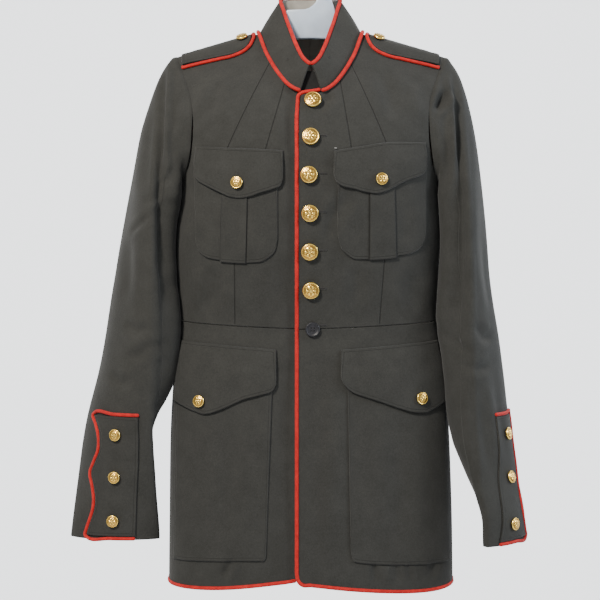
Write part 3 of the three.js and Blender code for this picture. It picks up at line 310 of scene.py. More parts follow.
def smooth(rows, at):
    """Every column of a table at a level, on a smooth curve through its rows."""
    level = rows["level"]
    at = np.clip(at, level[0], level[-1])
    i = np.clip(np.searchsorted(level, at, side="right") - 1, 0, len(level) - 2)
    before = np.maximum(i - 1, 0)
    after = np.minimum(i + 2, len(level) - 1)
    span = level[i + 1] - level[i]
    t = (at - level[i]) / span
    result = {}
    for name, v in rows.items():
        slope_a = (v[i + 1] - v[before]) / (level[i + 1] - level[before]) * span
        slope_b = (v[after] - v[i]) / (level[after] - level[i]) * span
        result[name] = hermite(t, v[i], slope_a, v[i + 1], slope_b)
    return result


def smoothstep(value, low, high):
    t = np.clip((value - low) / (high - low), 0, 1)
    return t * t * (3 - 2 * t)


def lerp(a, b, share):
    return a + (b - a) * share

def hand(side):
    return "left" if side > 0 else "right"


def through(values, at):
    """A curve through evenly counted values that never swings past them."""
    values = np.asarray(values, float)
    rise = np.diff(values, axis=0)
    product = rise[:-1] * rise[1:]
    total = rise[:-1] + rise[1:]
    inner = np.where(product > 0, 2 * product / np.where(total == 0, 1, total), 0)
    slope = np.concatenate([rise[:1], inner, rise[-1:]])
    i = np.clip(np.floor(at).astype(int), 0, len(values) - 2)
    t = np.asarray(at, float) - i
    t = t.reshape(t.shape + (1,) * (values.ndim - 1))
    return hermite(t, values[i], slope[i], values[i + 1], slope[i + 1])


# The body's skin. Turn 0 is the front middle, 90 degrees the left side, 180 the back.
SQUARED = {**SECTIONS, "front": SECTIONS["front"] ** 2, "back": SECTIONS["back"] ** 2}


def section(level):
    row = smooth(SQUARED, level)
    row["front"] = np.sqrt(np.maximum(0, row["front"]))
    row["back"] = np.sqrt(np.maximum(0, row["back"]))
    return row


def turn_at(x, level):
    row = section(level)
    share = np.minimum(1, np.abs(x - row["shift"]) / row["half"])
    return np.sign(x - row["shift"]) * np.arcsin(share ** (row["square"] / 2))


def side_turn(level, key="front"):
    row = section(level)
    return np.arccos((SEAM / 2 / row[key]) ** (row["square"] / 2))


def skin_point(turn, level):
    row = section(level)
    back = np.cos(turn) < 0
    depth = np.where(back, row["back"], row["front"])
    power = 2 / row["square"]
    sine, cosine = np.sin(turn), np.cos(turn)
    x = row["shift"] + row["half"] * np.sign(sine) * np.abs(sine) ** power
    y = -depth * np.sign(cosine) * np.abs(cosine) ** power
    past = np.abs(x) - NECK_HALF_WIDTH
    drop = SHOULDER_SLOPE * (past + np.hypot(past, 15)) / 2 * smoothstep(level, 620, SHOULDER)
    share = np.minimum(1, np.abs(turn) / (np.pi / 2))
    dip = -HEM_DIP * np.sin(np.pi * share**0.75) * (1 - smoothstep(level, 0, 160))
    across = 1 - smoothstep(np.abs(x), 20, 105)
    above = np.maximum(0, (level - BACK_NECK_LEVEL) / (SHOULDER - BACK_NECK_LEVEL))
    rise = BACK_NECK_RISE * across * smoothstep(level, 690, BACK_NECK_LEVEL) * (1 - above**2)
    z = level - drop + np.where(back, rise, np.where(share < 1, dip, 0))
    return np.stack([x, y, z], axis=-1)


def unit(v):
    return v / np.maximum(np.linalg.norm(v, axis=-1, keepdims=True), 1e-9)


def skin_normal(turn, level):
    level = np.minimum(level, RIDGE)
    across = skin_point(turn + 0.002, level) - skin_point(turn - 0.002, level)
    along = skin_point(turn, level + 0.01) - skin_point(turn, level - 0.01)
    return unit(np.cross(across, along))


def segment_distance(points, x, z):
    """Distance to a polyline and the share of the way along it at the nearest place."""
    points = np.array(points, float)
    lengths = np.linalg.norm(np.diff(points, axis=0), axis=1)
    starts = np.concatenate([[0], np.cumsum(lengths)])
    best = np.full(np.shape(x), 1e9)
    share = np.zeros(np.shape(x))
    for k, (a, b) in enumerate(zip(points[:-1], points[1:])):
        d = b - a
        t = np.clip(((x - a[0]) * d[0] + (z - a[1]) * d[1]) / (d @ d), 0, 1)
        away = np.hypot(x - a[0] - t * d[0], z - a[1] - t * d[1])
        nearer = away < best
        best = np.where(nearer, away, best)
        share = np.where(nearer, (starts[k] + t * lengths[k]) / starts[-1], share)
    return best, share


def creases(rows, x, z):
    total = np.zeros(np.shape(x))
    for width, height, points in rows:
        away, share = segment_distance(points, x, z)
        fade = smoothstep(share, -0.05, 0.3) * (1 - smoothstep(share, 0.65, 1.05))
        side = 0.32 * np.exp(-(((away - 1.9 * width) / width) ** 2))
        total += height * fade * (np.exp(-((away / width) ** 2)) - side)
    return total * CREASE


def body_relief(point, normal):
    """How far the cloth of the body stands off its form because of its creases."""
    x, z = point[..., 0], point[..., 2]
    before = np.clip(-normal[..., 1] * 1.6, 0, 1)
    behind = np.clip(normal[..., 1] * 1.6, 0, 1)
    calm = 1 - smoothstep(z, 760, 800)
    near_front = smoothstep(np.abs(x + 5), 6, 30)
    waves = 0.5 * np.sin(x / 31 + z / 190 + 0.7) * np.sin(z / 83 + 1.1)
    low = 1 - smoothstep(z, 0, 330)
    waves += 0.9 * low * np.sin(x / 23 + 0.4 * np.sin(z / 120)) * near_front
    total = creases(BODY_FRONT, x, z) * before * near_front + creases(BODY_BACK, x, z) * behind
    return (total + waves * near_front) * calm


def skin(turn, level, out=0.0):
    turn, level = np.broadcast_arrays(np.asarray(turn, float), np.asarray(level, float))
    point = skin_point(turn, level)
    normal = skin_normal(turn, level)
    return point + normal * (body_relief(point, normal) + out)[..., None], normal


def behind(turn, side):
    return side * np.pi - turn


# Sleeves. Step 0 of the ring is the shoulder tip, 5 the front, 10 the armpit and -5 the back.
def armhole_turns(key):
    turns = turn_at(ARMHOLE[key] + section(ARMHOLE["level"])["shift"], ARMHOLE["level"])
    turns[-1] = side_turn(ARMHOLE["level"][-1], key)
    return turns


ARMHOLE_FRONT = armhole_turns("front")
ARMHOLE_BACK = armhole_turns("back")


def armhole_point(side, step):
    away = np.abs(step)
    level = through(ARMHOLE["level"], away)
    front = side * through(ARMHOLE_FRONT, away)
    back = behind(side * through(ARMHOLE_BACK, away), side)
    return skin(np.where(step >= 0, front, back), level)[0]


def sleeve_section(rows, side, angle, level):
    row = smooth(rows, level)
    turn = np.radians(row["turn"])
    fold = 1 + PRESSED * smoothstep(CAP_END - level, 0, 130)
    reach = row["short"] * np.sign(np.cos(angle)) * np.abs(np.cos(angle)) ** fold
    along = row["long"] * np.sin(angle)
    x = side * (row["out"] + reach * np.cos(turn) - along * np.sin(turn))
    y = row["back"] - reach * np.sin(turn) - along * np.cos(turn)
    return np.stack([x, y, np.broadcast_to(level, np.shape(x))], axis=-1)


def sleeve_form(side, step, way):
    """The sleeve at a step of its ring; way is 0 at the armhole, 1 at the cap's end, 2 at the cuff."""
    rows = SLEEVE_LEFT if side > 0 else SLEEVE_RIGHT
    step, way = np.broadcast_arrays(np.asarray(step, float), np.asarray(way, float))
    folded = (step + RING / 2) % RING - RING / 2
    angle = folded * 2 * np.pi / RING
    down = np.full(angle.shape, -np.sin(SLEEVE_FALL))
    leave = unit(np.stack([side * np.cos(SLEEVE_FALL) + 0 * down, -0.3 * np.sin(angle), down], -1))
    slack = ARMPIT_SLACK * smoothstep(np.abs(folded), 6, 9) - 0.9
    start = armhole_point(side, folded) + leave * slack[..., None]
    end = sleeve_section(rows, side, angle, CAP_END)
    arrive = unit(sleeve_section(rows, side, angle, CAP_END - 1) - end)
    reach = np.linalg.norm(end - start, axis=-1)[..., None]
    t = np.minimum(way, 1)[..., None]
    cap = hermite(t, start, reach * 0.5 * leave, end, reach * 0.85 * arrive)
    level = CAP_END - np.maximum(0, way - 1) * (CAP_END - CUFF)
    lower = sleeve_section(rows, side, angle, level)
    return np.where((way <= 1)[..., None], cap, lower)


def tent(points, x, z, near, far):
    """A sharp fold along a line: 1 on it, falling fast towards the body and slowly outward."""
    away, share = segment_distance(points, x, z)
    line = np.array(points, float)[::-1]
    outward = np.abs(x) > np.interp(z, line[:, 1], np.abs(line[:, 0]))
    width = np.where(outward, far, near)
    return np.exp(-away / width) * smoothstep(share, 0, 0.45) * (1 - smoothstep(share, 0.97, 1.1))


def sleeve_relief(side, point, normal):
    """How far the cloth of a sleeve stands off its form: creases, its pressed fold and soft waves."""
    x, y, z = point[..., 0], point[..., 1], point[..., 2]
    rows, fold, near, far = (
        (SLEEVE_LEFT_FRONT, FOLD_LEFT, 7, 40) if side > 0 else (SLEEVE_RIGHT_FRONT, FOLD_RIGHT, 6, 38))
    before = np.clip(-normal[..., 1] * 1.5 + 0.15, 0, 1)
    rear = np.clip(normal[..., 1] * 1.5, 0, 1)
    total = (creases(rows, x, z) + FOLD_HEIGHT * tent(fold, x, z, near, far)) * before
    total += creases(SLEEVE_BACK, np.abs(x), z) * rear
    waves = 0.55 * np.sin(z / 37 + y / 29 + side) * np.sin(y / 33 + x / 41)
    return (total + waves) * (1 - smoothstep(z, 745, 790))

def sleeve_leaning(side, step, way):
    """The sleeve's form with its pressed front fold moved outward, away from the body."""
    point = sleeve_form(side, step, way)
    level = point[..., 2]
    lean = np.interp(level, LEAN["level"], LEAN[hand(side)]) * smoothstep(level, CUFF, 200)
    point[..., 0] += side * lean * np.clip(np.sin(np.asarray(step) * 2 * np.pi / RING), 0, 1) ** 2
    return point

def sleeve_skin(side, step, way, out=0.0):
    """A place on the sleeve's cloth and the way it faces."""
    point = sleeve_leaning(side, step, way)
    across = sleeve_leaning(side, step + 0.03, way) - sleeve_leaning(side, step - 0.03, way)
    along = sleeve_leaning(side, step, np.minimum(way + 0.004, 2)) - sleeve_leaning(
        side, step, np.maximum(way - 0.004, 0))
    normal = unit(np.cross(across, along)) * side
    level = point[..., 2]
    relief = sleeve_relief(side, point, normal) * smoothstep(way, 0, 0.1)
    for column, middle, width in ((hand(side), 8.6, 2.4), (f"{hand(side)}_front", 7.4, 1.3)):
        swell = np.interp(level, SWELL["level"], SWELL[column])
        relief = relief + swell * np.exp(-(((np.mod(step, RING) - middle) / width) ** 2))
    head_roll = 1.6 * np.exp(-(((way - 0.05) / 0.035) ** 2)) * smoothstep(level, 640, 740)
    return point + normal * (relief + head_roll + out)[..., None], normal


# Meshes
def to_row(points):
    moved = np.array(points, float)
    moved[..., 2] -= HOOK_TOP
    return moved / 1000


def mesh_object(name, node, material, points, faces, uv=None, attributes=None):
    """One piece of the look from points in millimetres, in place of a CAD node if one is named."""
    mesh = bpy.data.meshes.new(name)
    mesh.from_pydata(to_row(points).tolist(), [], faces)
    mesh.update()
    if uv is not None:
        layer = mesh.uv_layers.new(name="cloth")
        corner = np.zeros(len(mesh.loops), np.int32)
        mesh.loops.foreach_get("vertex_index", corner)
        layer.data.foreach_set("uv", np.asarray(uv, np.float32)[corner].ravel())
    for key, values in (attributes or {}).items():
        attribute = mesh.attributes.new(key, "FLOAT", "POINT")
        attribute.data.foreach_set("value", np.asarray(values, np.float32).ravel())
    mesh.polygons.foreach_set("use_smooth", [True] * len(mesh.polygons))
    mesh.materials.append(material)
    piece = bpy.data.objects.new(name, mesh)
    bpy.context.scene.collection.objects.link(piece)
    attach(piece, "root")
    if node:
        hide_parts(node)
    return piece


def arc(grid, axis):
    """Distance along the grid's lines in one direction."""
    step = np.linalg.norm(np.diff(grid, axis=axis), axis=-1)
    start = np.zeros_like(np.take(step, [0], axis=axis))
    return np.concatenate([start, np.cumsum(step, axis=axis)], axis=axis)


def quads(rows, columns):
    index = np.arange(rows * columns).reshape(rows, columns)
    return np.stack([index[:-1, :-1], index[:-1, 1:], index[1:, 1:], index[1:, :-1]], -1).reshape(-1, 4)


def shell(node, outer, inner, material, attributes=None, plain_side=None):
    """A thin closed wall of cloth between two grids, with softened edges.
    A plain side, the first column (0) or the last (1), is not softened on the outer face."""
    rows, columns = outer.shape[:2]
    outer, inner = outer.copy(), inner.copy()
    rim = np.zeros((rows, columns), bool)
    rim[[0, -1]] = True
    rim[:, [0, -1]] = True
    outer_rim, inner_rim = outer[rim], inner[rim]
    column = -1 if plain_side else 0
    kept = outer[1:-1, column].copy()
    outer[rim] = lerp(outer_rim, inner_rim, 0.3)
    inner[rim] = lerp(inner_rim, outer_rim, 0.3)
    if plain_side is not None:
        outer[1:-1, column] = kept
    count = rows * columns
    faces = quads(rows, columns)
    index = np.arange(count).reshape(rows, columns)
    loop = np.concatenate([index[0, :-1], index[:-1, -1], index[-1, :0:-1], index[:0:-1, 0]])
    following = np.roll(loop, -1)
    sides = np.stack([following, loop, loop + count, following + count], -1)
    every = np.concatenate([faces, faces[:, ::-1] + count, sides])
    points = np.concatenate([outer.reshape(-1, 3), inner.reshape(-1, 3)])
    a, b, c, d = (points[every[:, k]] for k in range(4))
    if ((np.cross(b, c) + np.cross(c, d)) * a).sum() < 0:
        every = every[:, ::-1]
    across, down = arc(outer, 1), arc(outer, 0)
    uv = np.stack([across - across[:, -1:] / 2, down], -1).reshape(-1, 2) / 100
    # Distance from the outline, kept as the attribute edge: the cloth shaders darken the edges with it (painted
    # shade, partly the seams' own dark line); a plain side gets none.
    edges = [across, across[:, -1:] - across, down, down[-1:] - down]
    if plain_side is not None:
        edges.pop(plain_side)
    nowhere = np.full((rows, columns), FAR)
    full = {"edge": np.minimum.reduce(edges), "seam_a": nowhere, "seam_b": nowhere}
    full.update(attributes or {})
    doubled = {key: np.append(values.ravel(), nowhere.ravel()) for key, values in full.items()}
    piece = mesh_object(f"{node}.cloth", node, material, points, every.tolist(),
                        np.concatenate([uv, uv]), doubled)
    piece.data.materials.append(LINING)
    lined = np.zeros(len(every), np.int32)
    lined[len(faces):2 * len(faces)] = 1
    piece.data.polygons.foreach_set("material_index", lined)
    a, b = np.diff(outer, axis=1)[:-1], np.diff(outer, axis=0)[:, :-1]

def tube_faces(rings, around, inside_out=False):
    """Every point's number, and the quads between closed rings of points."""
    index = np.arange(rings * around).reshape(rings, around)
    rolled = np.roll(index, -1, axis=1)
    corners = [index[:-1], rolled[:-1], rolled[1:], index[1:]]
    if inside_out:
        corners = [corners[0], *corners[:0:-1]]
    return index, np.stack(corners, -1).reshape(-1, 4).tolist()

def cord_mesh(name, node, material, path, radius, sides=12):
    """A round cord along a path, with rounded ends."""
    path = np.asarray(path, float)
    tangent = unit(np.gradient(path, axis=0))
    frame_side = np.zeros_like(path)
    frame_side[0] = unit(np.cross(tangent[0], [0.31, 0.2, 0.93]))
    for k in range(1, len(path)):
        frame_side[k] = unit(frame_side[k - 1] - tangent[k] * (frame_side[k - 1] @ tangent[k]))
    frame_up = np.cross(tangent, frame_side)
    last = len(path) - 1
    stations = [(0, -0.8, 0.45), (0, -0.45, 0.85), *((k, 0, 1) for k in range(len(path))),
                (last, 0.45, 0.85), (last, 0.8, 0.45)]
    angles = np.arange(sides) * 2 * np.pi / sides
    travelled = arc(path, 0)
    points, along = [], []
    for k, push, size in stations:
        ring = np.cos(angles)[:, None] * frame_side[k] + np.sin(angles)[:, None] * frame_up[k]
        points.append(path[k] + tangent[k] * push * radius + ring * radius * size)
        along.append(np.full(sides, travelled[k] + push * radius))
    index, faces = tube_faces(len(stations), sides)
    faces += [index[0][::-1].tolist(), index[-1].tolist()]
    uv = np.stack([np.tile(angles * radius, len(stations)), np.concatenate(along)], -1) / 100
    return mesh_object(name, node, material, np.concatenate(points), faces, uv)

def piping(node, path, radius):
    cord_mesh(f"{node}.cord", node, RED, path, radius)

def thread(name, path, radius, material=None):
    cord_mesh(name, None, material or THREAD, path, radius, 8)


def resample(points, step):
    """Points of a smooth curve through the given ones, evenly spaced."""
    points = np.asarray(points, float)
    at = np.linspace(0, len(points) - 1, (len(points) - 1) * 12 + 1)
    i = np.clip(np.floor(at).astype(int), 0, len(points) - 2)
    t = (at - i)[:, None]
    chord = np.maximum(np.linalg.norm(np.diff(points, axis=0), axis=1), 1e-6)
    slope = np.zeros_like(points)
    slope[0] = (points[1] - points[0]) / chord[0]
    slope[-1] = (points[-1] - points[-2]) / chord[-1]
    before = np.diff(points, axis=0)[:-1] / chord[:-1, None]
    after = np.diff(points, axis=0)[1:] / chord[1:, None]
    weight = (chord[1:] / (chord[:-1] + chord[1:]))[:, None]
    slope[1:-1] = before * weight + after * (1 - weight)
    span = chord[i][:, None]
    curve = hermite(t, points[i], slope[i] * span, points[i + 1], slope[i + 1] * span)
    far = np.concatenate([[0], np.cumsum(np.linalg.norm(np.diff(curve, axis=0), axis=1))])
    even = np.linspace(0, far[-1], max(2, int(far[-1] / step) + 1))
    return np.stack([np.interp(even, far, curve[:, k]) for k in range(3)], -1)


# Materials
def new_material(name):
    """A material, its nodes and shader, and the place in space and on the cloth."""
    material = bpy.data.materials.new(name)
    material.use_nodes = True
    tree = material.node_tree
    place = tree.nodes.new("ShaderNodeTexCoord")
    return material, tree, tree.nodes["Principled BSDF"], place.outputs["Object"], place.outputs["UV"]

def settings(node, **values):
    """Sets a node's inputs by name, with an underscore for each space."""
    for name, value in values.items():
        node.inputs[name.replace("_", " ")].default_value = value

def math(tree, kind, a, b=0.0, clamp=False):
    node = tree.nodes.new("ShaderNodeMath")
    node.operation = kind
    node.use_clamp = clamp
    for socket, value in zip(node.inputs, (a, b)):
        if isinstance(value, (int, float)):
            socket.default_value = value
        else:
            tree.links.new(value, socket)
    return node.outputs[0]

def weighted(tree, *terms):
    """The sum of values, each times its weight."""
    total = 0.0
    for value, weight in terms:
        total = math(tree, "ADD", math(tree, "MULTIPLY", value, weight), total)
    return total

def noise(tree, vector, scale, detail=2.0, roughness=0.5):
    node = tree.nodes.new("ShaderNodeTexNoise")
    settings(node, Scale=scale, Detail=detail, Roughness=roughness)
    tree.links.new(vector, node.inputs["Vector"])
    return node.outputs["Fac"]

def twill(tree, vector, scale, distortion, detail_scale=1.0):
    node = tree.nodes.new("ShaderNodeTexWave")
    node.bands_direction = "DIAGONAL"
    settings(node, Scale=scale, Distortion=distortion, Detail_Scale=detail_scale)
    tree.links.new(vector, node.inputs["Vector"])
    return node.outputs["Fac"]

def ramp(tree, factor, stops):
    node = tree.nodes.new("ShaderNodeValToRGB")
    elements = node.color_ramp.elements
    while len(elements) < len(stops):
        elements.new(0.5)
    for element, (position, colour) in zip(elements, stops):
        element.position = position
        element.color = (*colour, 1)
    tree.links.new(factor, node.inputs[0])
    return node.outputs[0]

def line(tree, attribute, centre, half):
    """1 on a line at a distance given by an attribute, falling to 0 beside it."""
    node = tree.nodes.new("ShaderNodeAttribute")
    node.attribute_name = attribute
    away = math(tree, "ABSOLUTE", math(tree, "SUBTRACT", node.outputs["Fac"], centre))
    shaped = tree.nodes.new("ShaderNodeMapRange")
    shaped.interpolation_type = "SMOOTHSTEP"
    settings(shaped, From_Min=0, From_Max=half, To_Min=1, To_Max=0)
    tree.links.new(away, shaped.inputs["Value"])
    return shaped.outputs[0]

def bumped(tree, shader, height, distance):
    bump = tree.nodes.new("ShaderNodeBump")
    settings(bump, Distance=distance, Strength=1.0)
    tree.links.new(height, bump.inputs["Height"])
    tree.links.new(bump.outputs[0], shader.inputs["Normal"])

def cloth_material(name, low, high, stitch=0.0):
    """Wool twill, darkened along its edges and pleat folds by painted shade (round laid-on pieces it stands for
    their shadow; at panel seams it is partly the seam's own dark line), and along its drawn seams and its row
    of stitches if it has one.
    """
    material, tree, shader, solid, flat = new_material(name)
    mottle, grain = noise(tree, solid, 38, 3.0, 0.6), noise(tree, solid, 380, 3.0, 0.65)
    fleck = noise(tree, solid, 900, 2.0, 0.7)
    factor = weighted(tree, (mottle, 0.28), (grain, 0.34), (fleck, 0.38))
    colour = ramp(tree, factor, [(0.36, low), (0.64, high)])
    seams_and_edge_shade = math(tree, "MAXIMUM", line(tree, "seam_a", 0, 1.3), line(tree, "seam_b", 0, 1.3))
    # Painted shade along the edges: weight 0.95 round laid-on pieces stands for the shadow at their borders,
    # and 0.5 on hung panels is partly the seams' own dark line. The second line is the row of stitches.
    for centre, half, weight in [(0, 1.4, 0.95), (stitch, 0.7, 0.45)] if stitch else [(0, 1.4, 0.5)]:
        row = math(tree, "MULTIPLY", line(tree, "edge", centre, half), weight)
        seams_and_edge_shade = math(tree, "MAXIMUM", seams_and_edge_shade, row)
    mix = tree.nodes.new("ShaderNodeMix")
    mix.data_type = "RGBA"
    tree.links.new(math(tree, "MULTIPLY", seams_and_edge_shade, 0.75), mix.inputs["Factor"])
    tree.links.new(colour, mix.inputs[6])
    # The darkened colour, 0.35 times the cloth's darker tone, is painted shade at edges and pleat folds, and
    # the dark line of the drawn seams.
    mix.inputs[7].default_value = (*(0.35 * c for c in low), 1)
    tree.links.new(mix.outputs[2], shader.inputs["Base Color"])
    height = weighted(tree, (twill(tree, flat, 26, 1.2, 3), 0.175), (fleck, 0.9),
                      (noise(tree, solid, 220, 3.0), 0.9), (seams_and_edge_shade, -3.2))
    bumped(tree, shader, height, 0.00028)
    settings(shader, Roughness=0.92, Specular_IOR_Level=0.16, Sheen_Weight=0.07, Sheen_Roughness=0.45)
    return material

def piping_material():
    material, tree, shader, solid, flat = new_material("red_piping")
    stops = [(0.3, (0.30, 0.007, 0.006)), (0.7, (0.45, 0.012, 0.009))]
    tree.links.new(ramp(tree, noise(tree, solid, 140, 3.0), stops), shader.inputs["Base Color"])
    bumped(tree, shader, math(tree, "ADD", twill(tree, flat, 30, 0.6), noise(tree, solid, 700)), 0.00012)
    settings(shader, Roughness=0.8, Specular_IOR_Level=0.2, Sheen_Weight=0.05)
    return material

def brass_material():
    """Gilt metal, darkened to brown in the hollows of a button's relief by painted shade."""
    material, tree, shader, solid, _ = new_material("brass")
    node = tree.nodes.new("ShaderNodeAttribute")
    node.attribute_name = "recess_shade"
    patchy = math(tree, "MULTIPLY", noise(tree, solid, 300, 3.0), 0.25)
    factor = math(tree, "ADD", node.outputs["Fac"], patchy, clamp=True)
    # Bright gold on the raised relief to dark brown painted shade in the hollows; the noise only varies the
    # tone at random.
    stops = [(0.1, (1.0, 0.72, 0.19)), (0.55, (0.94, 0.58, 0.12)), (0.95, (0.42, 0.23, 0.05))]
    tree.links.new(ramp(tree, factor, stops), shader.inputs["Base Color"])
    bumped(tree, shader, noise(tree, solid, 1400), 0.00004)
    settings(shader, Metallic=1.0, Roughness=0.27)
    return material

def plain_material(name, low, high, scale, bump=None, **more):
    """Two close colours in clouds, and a bump if its noise's scale and its height are given."""
    material, tree, shader, solid, _ = new_material(name)
    colour = ramp(tree, noise(tree, solid, scale), [(0.3, low), (0.7, high)])
    tree.links.new(colour, shader.inputs["Base Color"])
    if bump:
        bumped(tree, shader, noise(tree, solid, bump[0]), bump[1])
    settings(shader, **more)
    return material

WOOL_COLOURS = (0.0200, 0.0201, 0.0183), (0.0335, 0.0334, 0.0308)
WOOL = cloth_material("wool", *WOOL_COLOURS)
WOOL_LAID = cloth_material("wool_laid_on", *WOOL_COLOURS, stitch=4.5)
# Wool darkened to half its tone: painted shade, for the collar tab that lies in the shade of the collar's front
# opening.
SHADE_WOOL = cloth_material("wool_painted_shade", (0.010, 0.010, 0.010), (0.018, 0.0175, 0.017))
LINING = plain_material("lining", (0.22, 0.205, 0.175), (0.29, 0.27, 0.235), 60, Roughness=0.8)
RED = piping_material()
BRASS = brass_material()
DARK = plain_material("dark_button", (0.006, 0.006, 0.008), (0.014, 0.014, 0.018), 160, (160, 0.00004),
                      Roughness=0.48, Specular_IOR_Level=0.35)
PLASTIC = plain_material("hanger_plastic", (0.42, 0.50, 0.60), (0.52, 0.60, 0.70), 40, (120, 0.00015),
                         Roughness=0.36, Transmission_Weight=0.25, Subsurface_Weight=0.2,
                         Subsurface_Radius=(0.01, 0.01, 0.012))
THREAD = plain_material("thread", (0.010, 0.010, 0.010), (0.022, 0.021, 0.020), 900, Roughness=0.85)
TACK = plain_material("tack", (0.25, 0.25, 0.24), (0.42, 0.42, 0.40), 900, Roughness=0.8)


# Cloth panels of the body
def spaced(total, pitch=PITCH):
    """Places along a length, close together by both ends."""
    ends = np.array([0, 0.7, 1.6])
    count = max(2, int((total - 6) / pitch))
    inner = np.linspace(3, total - 3, count + 1)
    return np.concatenate([ends, inner, total - ends[::-1]]) / total


def even_rows(near, far, count):
    """Row numbers such that the rows lie evenly apart, from points along both edges."""
    dense = np.linspace(0, count - 1, (count - 1) * 12 + 1)
    step = np.zeros(len(dense) - 1)
    for edge in (near(dense), far(dense)):
        step += 0.5 * np.linalg.norm(np.diff(edge, axis=0), axis=1)
    length = np.concatenate([[0], np.cumsum(step)])
    return np.interp(spaced(length[-1]) * length[-1], length, dense)


def panel_grid(from_turn, from_level, to_turn, to_level, lift):
    """Outer and inner points of a panel whose rows run between two edges."""
    s = np.linspace(0, 1, 161)[None, :]
    turn = lerp(from_turn[:, None], to_turn[:, None], s)
    level = lerp(from_level[:, None], to_level[:, None], s)
    form = skin_point(turn, level)
    length = arc(form, 1)
    share = spaced(length[:, -1].max())
    placed = np.stack([np.interp(share * l[-1], l, s[0]) for l in length])
    turn = lerp(from_turn[:, None], to_turn[:, None], placed)
    level = lerp(from_level[:, None], to_level[:, None], placed)
    outer, normal = skin(turn, level, lift(turn, level))
    return outer, outer - normal * THICK


def lap(turn, level):
    """Lowers the wearer's right front where the left one laps over it."""
    x = skin_point(turn, level)[..., 0]
    return -LAP_DEPTH * smoothstep(x, -LAP_RAMP[1], -LAP_RAMP[0])


def flat_out(turn, level):
    return np.zeros(np.shape(turn))


def seam_distances(outer, seams):
    """Distance from the seams that are drawn on a panel, with its sign at the line."""
    x, z = outer[..., 0], outer[..., 2]
    result = {}
    for key, points in zip(("seam_a", "seam_b"), seams):
        away = segment_distance(points, x, z)[0]
        pts = np.array(points, float)[::-1]
        signed = np.where(x < np.interp(z, pts[:, 1], pts[:, 0]), -away, away)
        inside = (z < pts[-1, 1] + 2) & (z > pts[0, 1] - 1)
        result[key] = np.where(inside, signed, FAR)
    return result

def panel(node, turns, levels, far_turns, far_levels, lift=flat_out, seams=()):
    """A hung panel between two edges of numbered rows. Turns is a function of a row's number."""
    def near(at):
        return turns(at), through(levels, at)

    def far(at):
        return through(far_turns, at), through(far_levels, at)

    rows = even_rows(lambda at: skin_point(*near(at)), lambda at: skin_point(*far(at)), len(levels))
    outer, inner = panel_grid(*near(rows), *far(rows), lift)
    shell(node, outer, inner, WOOL, seam_distances(outer, seams))

def held_by_x(x, level):
    """An edge's turns by row number, from its distances from the middle, so that it stays straight."""
    return lambda at: turn_at(through(x, at), through(level, at))

def front_skirt(side):
    left = side > 0
    edge = np.append(SKIRT_ROWS["edge"], WAIST_FRONT - SEAM / 2)
    far = np.append(SKIRT_ROWS["side"], WAIST_SIDE - SEAM / 2)
    level = edge + (HEM_LEFT if left else HEM_RIGHT) * (1 - smoothstep(edge, 0, 160))
    below = np.maximum(0, 1 - edge / HEM_CORNER)
    corner = HEM_CORNER * (1 - np.sqrt(1 - below**2)) * left
    x = (FRONT_EDGE if left else UNDERLAP) + corner
    panel(f"front_skirt_{hand(side)}", held_by_x(x, level), level, side * side_turn(far),
          far - np.where(far == 0, SIDE_DROP, 0), flat_out if left else lap, SEAMS[hand(side)])

def front_upper(side):
    left = side > 0
    inner = FRONT_EDGE if left else UNDERLAP
    corner_x, corner_level = ((inner, inner + 3), (648, 695)) if left else ((inner, inner), (648, 690))
    x = [inner] * (len(CHEST_ROWS["edge"]) + 1) + [*corner_x, *(side * NECK_FRONT["x"])]
    level = [WAIST_FRONT + SEAM / 2, *CHEST_ROWS["edge"], *corner_level, *NECK_FRONT["level"]]
    far_turns = side * np.concatenate([
        side_turn(np.append(WAIST_SIDE, CHEST_ROWS["side"])), ARMHOLE_FRONT[::-1]])
    far_levels = np.concatenate([[WAIST_SIDE + SEAM / 2], CHEST_ROWS["side"], ARMHOLE["level"][::-1]])
    panel(f"front_upper_{hand(side)}", held_by_x(x, level), level, far_turns, far_levels,
          flat_out if left else lap, SEAMS[hand(side)])

def middle_back(side, level):
    """The centre back's turn. The halves overlap a little, so that nothing shows between them."""
    return side * np.pi - turn_at(section(level)["shift"] - 0.35 * side, level)

def back_panel(side):
    edge = np.concatenate([SKIRT_ROWS["edge"], [365], CHEST_ROWS["edge"]])
    far = np.concatenate([SKIRT_ROWS["side"], [365], CHEST_ROWS["side"]])
    drop = np.where(edge == 0, SIDE_DROP, 0)
    plain = np.array([648, 685, 720, 748], float)
    neck_x = np.append(NECK_BACK["x"][::-1], NECK_HALF_WIDTH)
    neck_level = np.append(NECK_BACK["level"][::-1], RIDGE)
    neck_turns = behind(turn_at(side * neck_x, neck_level), side)
    neck_turns[0] = middle_back(side, neck_level[0])
    turns = np.concatenate([middle_back(side, edge), middle_back(side, plain), neck_turns])
    levels = np.concatenate([edge - drop, plain, neck_level])
    far_turns = behind(side * np.concatenate([side_turn(far, "back"), ARMHOLE_BACK[::-1]]), side)
    far_levels = np.concatenate([far - drop, ARMHOLE["level"][::-1]])
    panel(f"back_{hand(side)}", lambda at: through(turns, at), levels, far_turns, far_levels)

